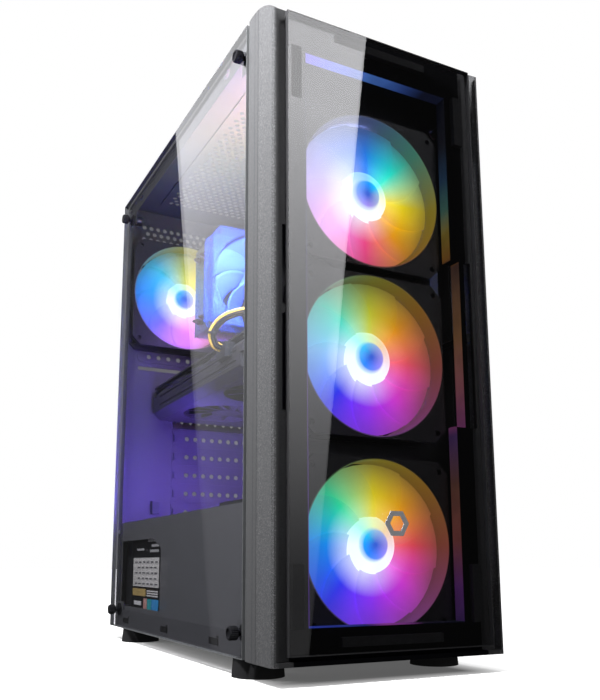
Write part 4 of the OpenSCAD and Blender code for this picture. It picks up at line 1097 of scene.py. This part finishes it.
class TOWER_OT_steel_details(TowerOperator, bpy.types.Operator):
    """Makes the small bright screws and the card clip of the steel chassis"""

    bl_idname = "tower.steel_details"
    bl_label = "Chassis screws and clip"

    def build(self, tower):
        bright = bpy.data.materials["bright_metal"]
        steel = bpy.data.materials["case_steel"]
        flange = low("rear_panel").x
        front = low("side_window").y
        back = high("side_window").y
        foot = low("bottom_pan").z + 0.004
        top = high("top_panel").z
        shape = bmesh.new()
        places = [(front + 0.0055, foot + 0.036), (front + 0.0045, foot + 0.022),
                  (front + 0.0055, foot + 0.006), (back - 0.006, foot + 0.010), (back - 0.006, foot + 0.095),
                  (front + 0.006, top - 0.008), (back - 0.008, top - 0.008)]
        for y, z in places:
            add_pan_screw(shape, (flange, y, z), (-1, 0, 0), 0.0022)
        finish_piece("chassis_screws", shape, [bright], "case")
        shape = bmesh.new()
        # Painted shade: flat black patches stand in for the shade inside the rail's slots
        for y in RAIL_SLOT_YS:
            add_block(shape, (flange - 0.0003, y - 0.0085, RAIL_SLOT_Z - 0.0025),
                      (flange + 0.0003, y + 0.0085, RAIL_SLOT_Z + 0.0025), 0.0002, 0)
        finish_piece("rail_slots", shape, [bpy.data.materials["black_rubber"]], "case")
        shape = bmesh.new()
        inside = low("slot_covers").y
        x = low("slot_covers").x
        z = low("slot_covers").z
        add_block(shape, (x - 0.023, inside - 0.006, z + 0.006),
                  (x - 0.014, inside - 0.0002, z + 0.020), 0.0006, 0)
        for slot in range(SLOT_COUNT):
            at = z + 0.0092 + slot * SLOT_PITCH
            add_block(shape, (x + 0.001, inside - 0.003, at - 0.004),
                      (x + 0.0035, inside - 0.0002, at + 0.004), 0.0004, 0)
        finish_piece("card_clips", shape, [steel], "case")


class TOWER_OT_stage(TowerOperator, bpy.types.Operator):
    """Makes the floor, the studio, the lights and the camera"""

    bl_idname = "tower.stage"
    bl_label = "Stage, lights and camera"

    def build(self, tower):
        self.floor()
        self.sky()
        eye = self.camera()
        self.reflected_cards(eye)
        self.studio_lights()
        self.inside_lights()
        bpy.context.scene.view_settings.view_transform = "Standard"

    def floor(self):
        made = Finish("studio_floor")
        x, y, _ = made.axes()
        beside_x = (abs(x) - FOOTPRINT[0]).math("MAXIMUM", 0.0)
        beside_y = (abs(y) - FOOTPRINT[1]).math("MAXIMUM", 0.0)
        away = (beside_x * beside_x + beside_y * beside_y).math("SQRT")
        speck = made.noise(8, 2)
        paper = made.surface(
            base_color=made.mix((0.80, 0.80, 0.80), (0.84, 0.84, 0.84), speck),
            roughness=0.9,
            specular_ior_level=0.0,
        )
        # Painted contact shadow: the floor's glow is dimmest under the case and full past SHADE_REACH
        lit = made.span(away, 0.0, SHADE_REACH, 0.10, 1.0)
        shine = made.node("Emission", {}, {"Color": (1, 1, 1, 1), "Strength": lit})
        made.done(made.node("AddShader", {}, [paper, shine]))
        shape = bmesh.new()
        bmesh.ops.create_grid(shape, x_segments=8, y_segments=8, size=12)
        floor = new_object("studio_floor", shape, [made.material])
        floor.visible_glossy = False
        floor.visible_diffuse = False

    def sky(self):
        """White to the camera, grey through the glass and on lit surfaces, nearly black in reflections."""
        world = bpy.data.worlds.new("studio")
        bpy.context.scene.world = world
        world.use_nodes = True
        tree = world.node_tree
        tree.nodes.clear()
        output = tree.nodes.new("ShaderNodeOutputWorld")
        path = tree.nodes.new("ShaderNodeLightPath")

        def backdrop(grey):
            made = tree.nodes.new("ShaderNodeBackground")
            made.inputs["Color"].default_value = (grey, grey, grey, 1.0)
            return made.outputs["Background"]

        def choose(ray, otherwise, then):
            choice = tree.nodes.new("ShaderNodeMixShader")
            share = tree.nodes.new("ShaderNodeClamp")
            tree.links.new(path.outputs[ray], share.inputs["Value"])
            tree.links.new(share.outputs["Result"], choice.inputs["Fac"])
            tree.links.new(otherwise, choice.inputs[1])
            tree.links.new(then, choice.inputs[2])
            return choice.outputs["Shader"]

        felt = choose("Is Glossy Ray", backdrop(0.15), backdrop(0.02))
        seen = choose("Transparent Depth", backdrop(1.0), backdrop(0.26))
        tree.links.new(choose("Is Camera Ray", felt, seen), output.inputs["Surface"])

    def camera(self):
        data = bpy.data.cameras.new("camera")
        data.lens = 39.88
        data.shift_x = 0.031
        data.shift_y = 0.1130
        data.clip_start = 0.01
        camera = bpy.data.objects.new("camera", data)
        bpy.context.collection.objects.link(camera)
        camera.location = (-0.2983, -0.6240, 0.0735)
        yaw, pitch = math.radians(26.46), math.radians(9.91)
        ahead = Vector((math.sin(yaw) * math.cos(pitch), math.cos(yaw) * math.cos(pitch), math.sin(pitch)))
        camera.rotation_mode = "QUATERNION"
        camera.rotation_quaternion = ahead.to_track_quat("-Z", "Y")
        bpy.context.scene.camera = camera
        return camera.location.copy()

    def reflected_cards(self, eye):
        """White cards, unseen by the camera, that the two panes of glass mirror."""
        side = low("side_window").x
        pane = low("front_glass").y
        self.card("side_card", eye, (1, 0, 0), [
            (side, 0.016, 0.480), (side, -0.0772, 0.0819), (side, -0.098, 0.002), (side, -0.30, 0.002),
            (side, -0.30, 0.480)], strength=2.0, fall=2.4, reach=1.4)
        self.card("front_card", eye, (0, 1, 0), [
            (-0.0100, pane, 0.470), (-0.0302, pane, 0.2979), (-0.0490, pane, 0.1335), (-0.0592, pane, 0.0622),
            (-0.0640, pane, 0.010), (-0.30, pane, 0.010), (-0.30, pane, 0.470)],
            strength=6.4, fall=1.5, reach=1.4)

    def card(self, name, eye, normal, sights, strength, fall, reach):
        """A card whose outline is mirrored at the given places on a pane."""
        normal = Vector(normal)
        made = Finish(name)
        _, _, z = made.axes()
        fade = made.span(z, 0.0, CARD_TOP) ** fall + 0.05
        white = made.mix((0, 0, 0), (1, 1, 1.02), fade)
        shine = made.node("Emission", {}, {"Color": white, "Strength": strength})
        made.done(shine)
        shape = bmesh.new()
        verts = []
        for sight in sights:
            place = Vector(sight)
            heading = (place - Vector(eye)).normalized()
            mirrored = heading - 2 * heading.dot(normal) * normal
            verts.append(shape.verts.new(place + mirrored * reach))
        shape.faces.new(verts)
        bmesh.ops.triangulate(shape, faces=shape.faces)
        card = new_object(name, shape, [made.material])
        for ray in ("camera", "diffuse", "transmission", "volume_scatter", "shadow"):
            setattr(card, "visible_" + ray, False)

    def lamp(self, name, place, target, size, power, colour=(1, 1, 1)):
        data = bpy.data.lights.new(name, "AREA")
        data.shape = "DISK"
        data.size = size
        data.energy = power
        data.color = colour
        lamp = bpy.data.objects.new(name, data)
        bpy.context.collection.objects.link(lamp)
        lamp.location = place
        lamp.rotation_mode = "QUATERNION"
        lamp.rotation_quaternion = (Vector(target) - Vector(place)).to_track_quat("-Z", "Y")
        for ray in ("camera", "glossy", "transmission"):
            setattr(lamp, "visible_" + ray, False)

    def studio_lights(self):
        for name, place, target, size, power in (
                ("key", (-0.40, -0.235, 0.62), (-0.09, -0.18, 0.40), 0.08, 8.0),
                ("fill", (1.2, -1.4, 0.9), (0, 0, 0.2), 1.0, 0.5),
                ("side", (-0.75, 0.50, 0.30), (-0.08, 0.05, 0.08), 0.4, 5.0),
                ("over", (0.2, 0.3, 1.9), (0, 0, 0.2), 1.4, 14)):
            self.lamp(name, place, target, size, power)

    def inside_lights(self):
        """The coloured light that the fans throw on the inside of the case."""
        top = high("top_panel").z
        side = low("rear_panel").x
        for name, y, colour, power in (
                ("roof_blue", -0.135, (0.30, 0.40, 1.0), 1.2),
                ("roof_pink", -0.085, (1.0, 0.35, 0.60), 1.0),
                ("roof_gold", -0.030, (1.0, 0.60, 0.15), 0.9),
                ("roof_green", 0.030, (0.12, 0.75, 0.50), 0.25),
                ("roof_navy", 0.110, (0.06, 0.08, 0.55), 0.25)):
            self.lamp(name, (-0.005, y, top - 0.075), (-0.02, y, top), 0.05, power, colour)
        for name, place, target, size, power, colour in (
                ("rear_violet", (-0.060, 0.045, 0.150), (-0.045, 0.19, 0.22), 0.05, 1.6, (0.20, 0.12, 1.0)),
                ("rear_low", (-0.005, 0.06, 0.150), (0.0, 0.19, 0.16), 0.05, 0.5, (0.40, 0.20, 0.95)),
                ("rear_glow", (-0.03, 0.12, 0.315), (-0.04, 0.19, 0.29), 0.04, 0.2, (0.45, 0.25, 1.0)),
                ("cooler_blue", (-0.045, -0.02, 0.36), (0.0, 0.06, 0.34), 0.05, 0.4, (0.25, 0.4, 1.0)),
                ("front_pale", (side + 0.02, -0.10, 0.30), (0.02, 0.02, 0.26), 0.06, 0.35, (0.75, 0.8, 1.0)),
                ("card_pale", (side + 0.012, -0.03, 0.315), (0, 0.04, 0.25), 0.03, 0.22, (0.9, 0.92, 1.0))):
            self.lamp(name, place, target, size, power, colour)


class VIEW3D_PT_tower(bpy.types.Panel):
    """The steps of the build, in their order"""

    bl_idname = "VIEW3D_PT_tower"
    bl_label = "Desktop tower"
    bl_space_type = "VIEW_3D"
    bl_region_type = "UI"
    bl_category = "Tower"

    def draw(self, context):
        tower = context.scene.tower
        for name in ("blade_count", "blade_depth", "hub_radius", "fan_glow", "knurls", "front_tint",
                     "window_tint", "strand_radius"):
            self.layout.prop(tower, name)
        for step in STEPS:
            self.layout.operator(step.bl_idname)


STEPS = [
    TOWER_OT_stage, TOWER_OT_frame_finishes, TOWER_OT_thumbscrews, TOWER_OT_fan_rotors, TOWER_OT_light_strips,
    TOWER_OT_supply_label, TOWER_OT_cables, TOWER_OT_graphics_trim, TOWER_OT_board_parts,
    TOWER_OT_rear_sockets, TOWER_OT_steel_details,
]
CLASSES = [TowerSettings] + STEPS + [VIEW3D_PT_tower]


def register():
    for made in CLASSES:
        bpy.utils.register_class(made)
    bpy.types.Scene.tower = bpy.props.PointerProperty(type=TowerSettings)


def unregister():
    del bpy.types.Scene.tower
    for made in reversed(CLASSES):
        bpy.utils.unregister_class(made)


def main():
    register()
    for step in STEPS:
        group, name = step.bl_idname.split(".")
        if getattr(getattr(bpy.ops, group), name)() != {"FINISHED"}:
            raise RuntimeError("The step " + step.bl_label + " was not finished")


if __name__ == "__main__":
    main()
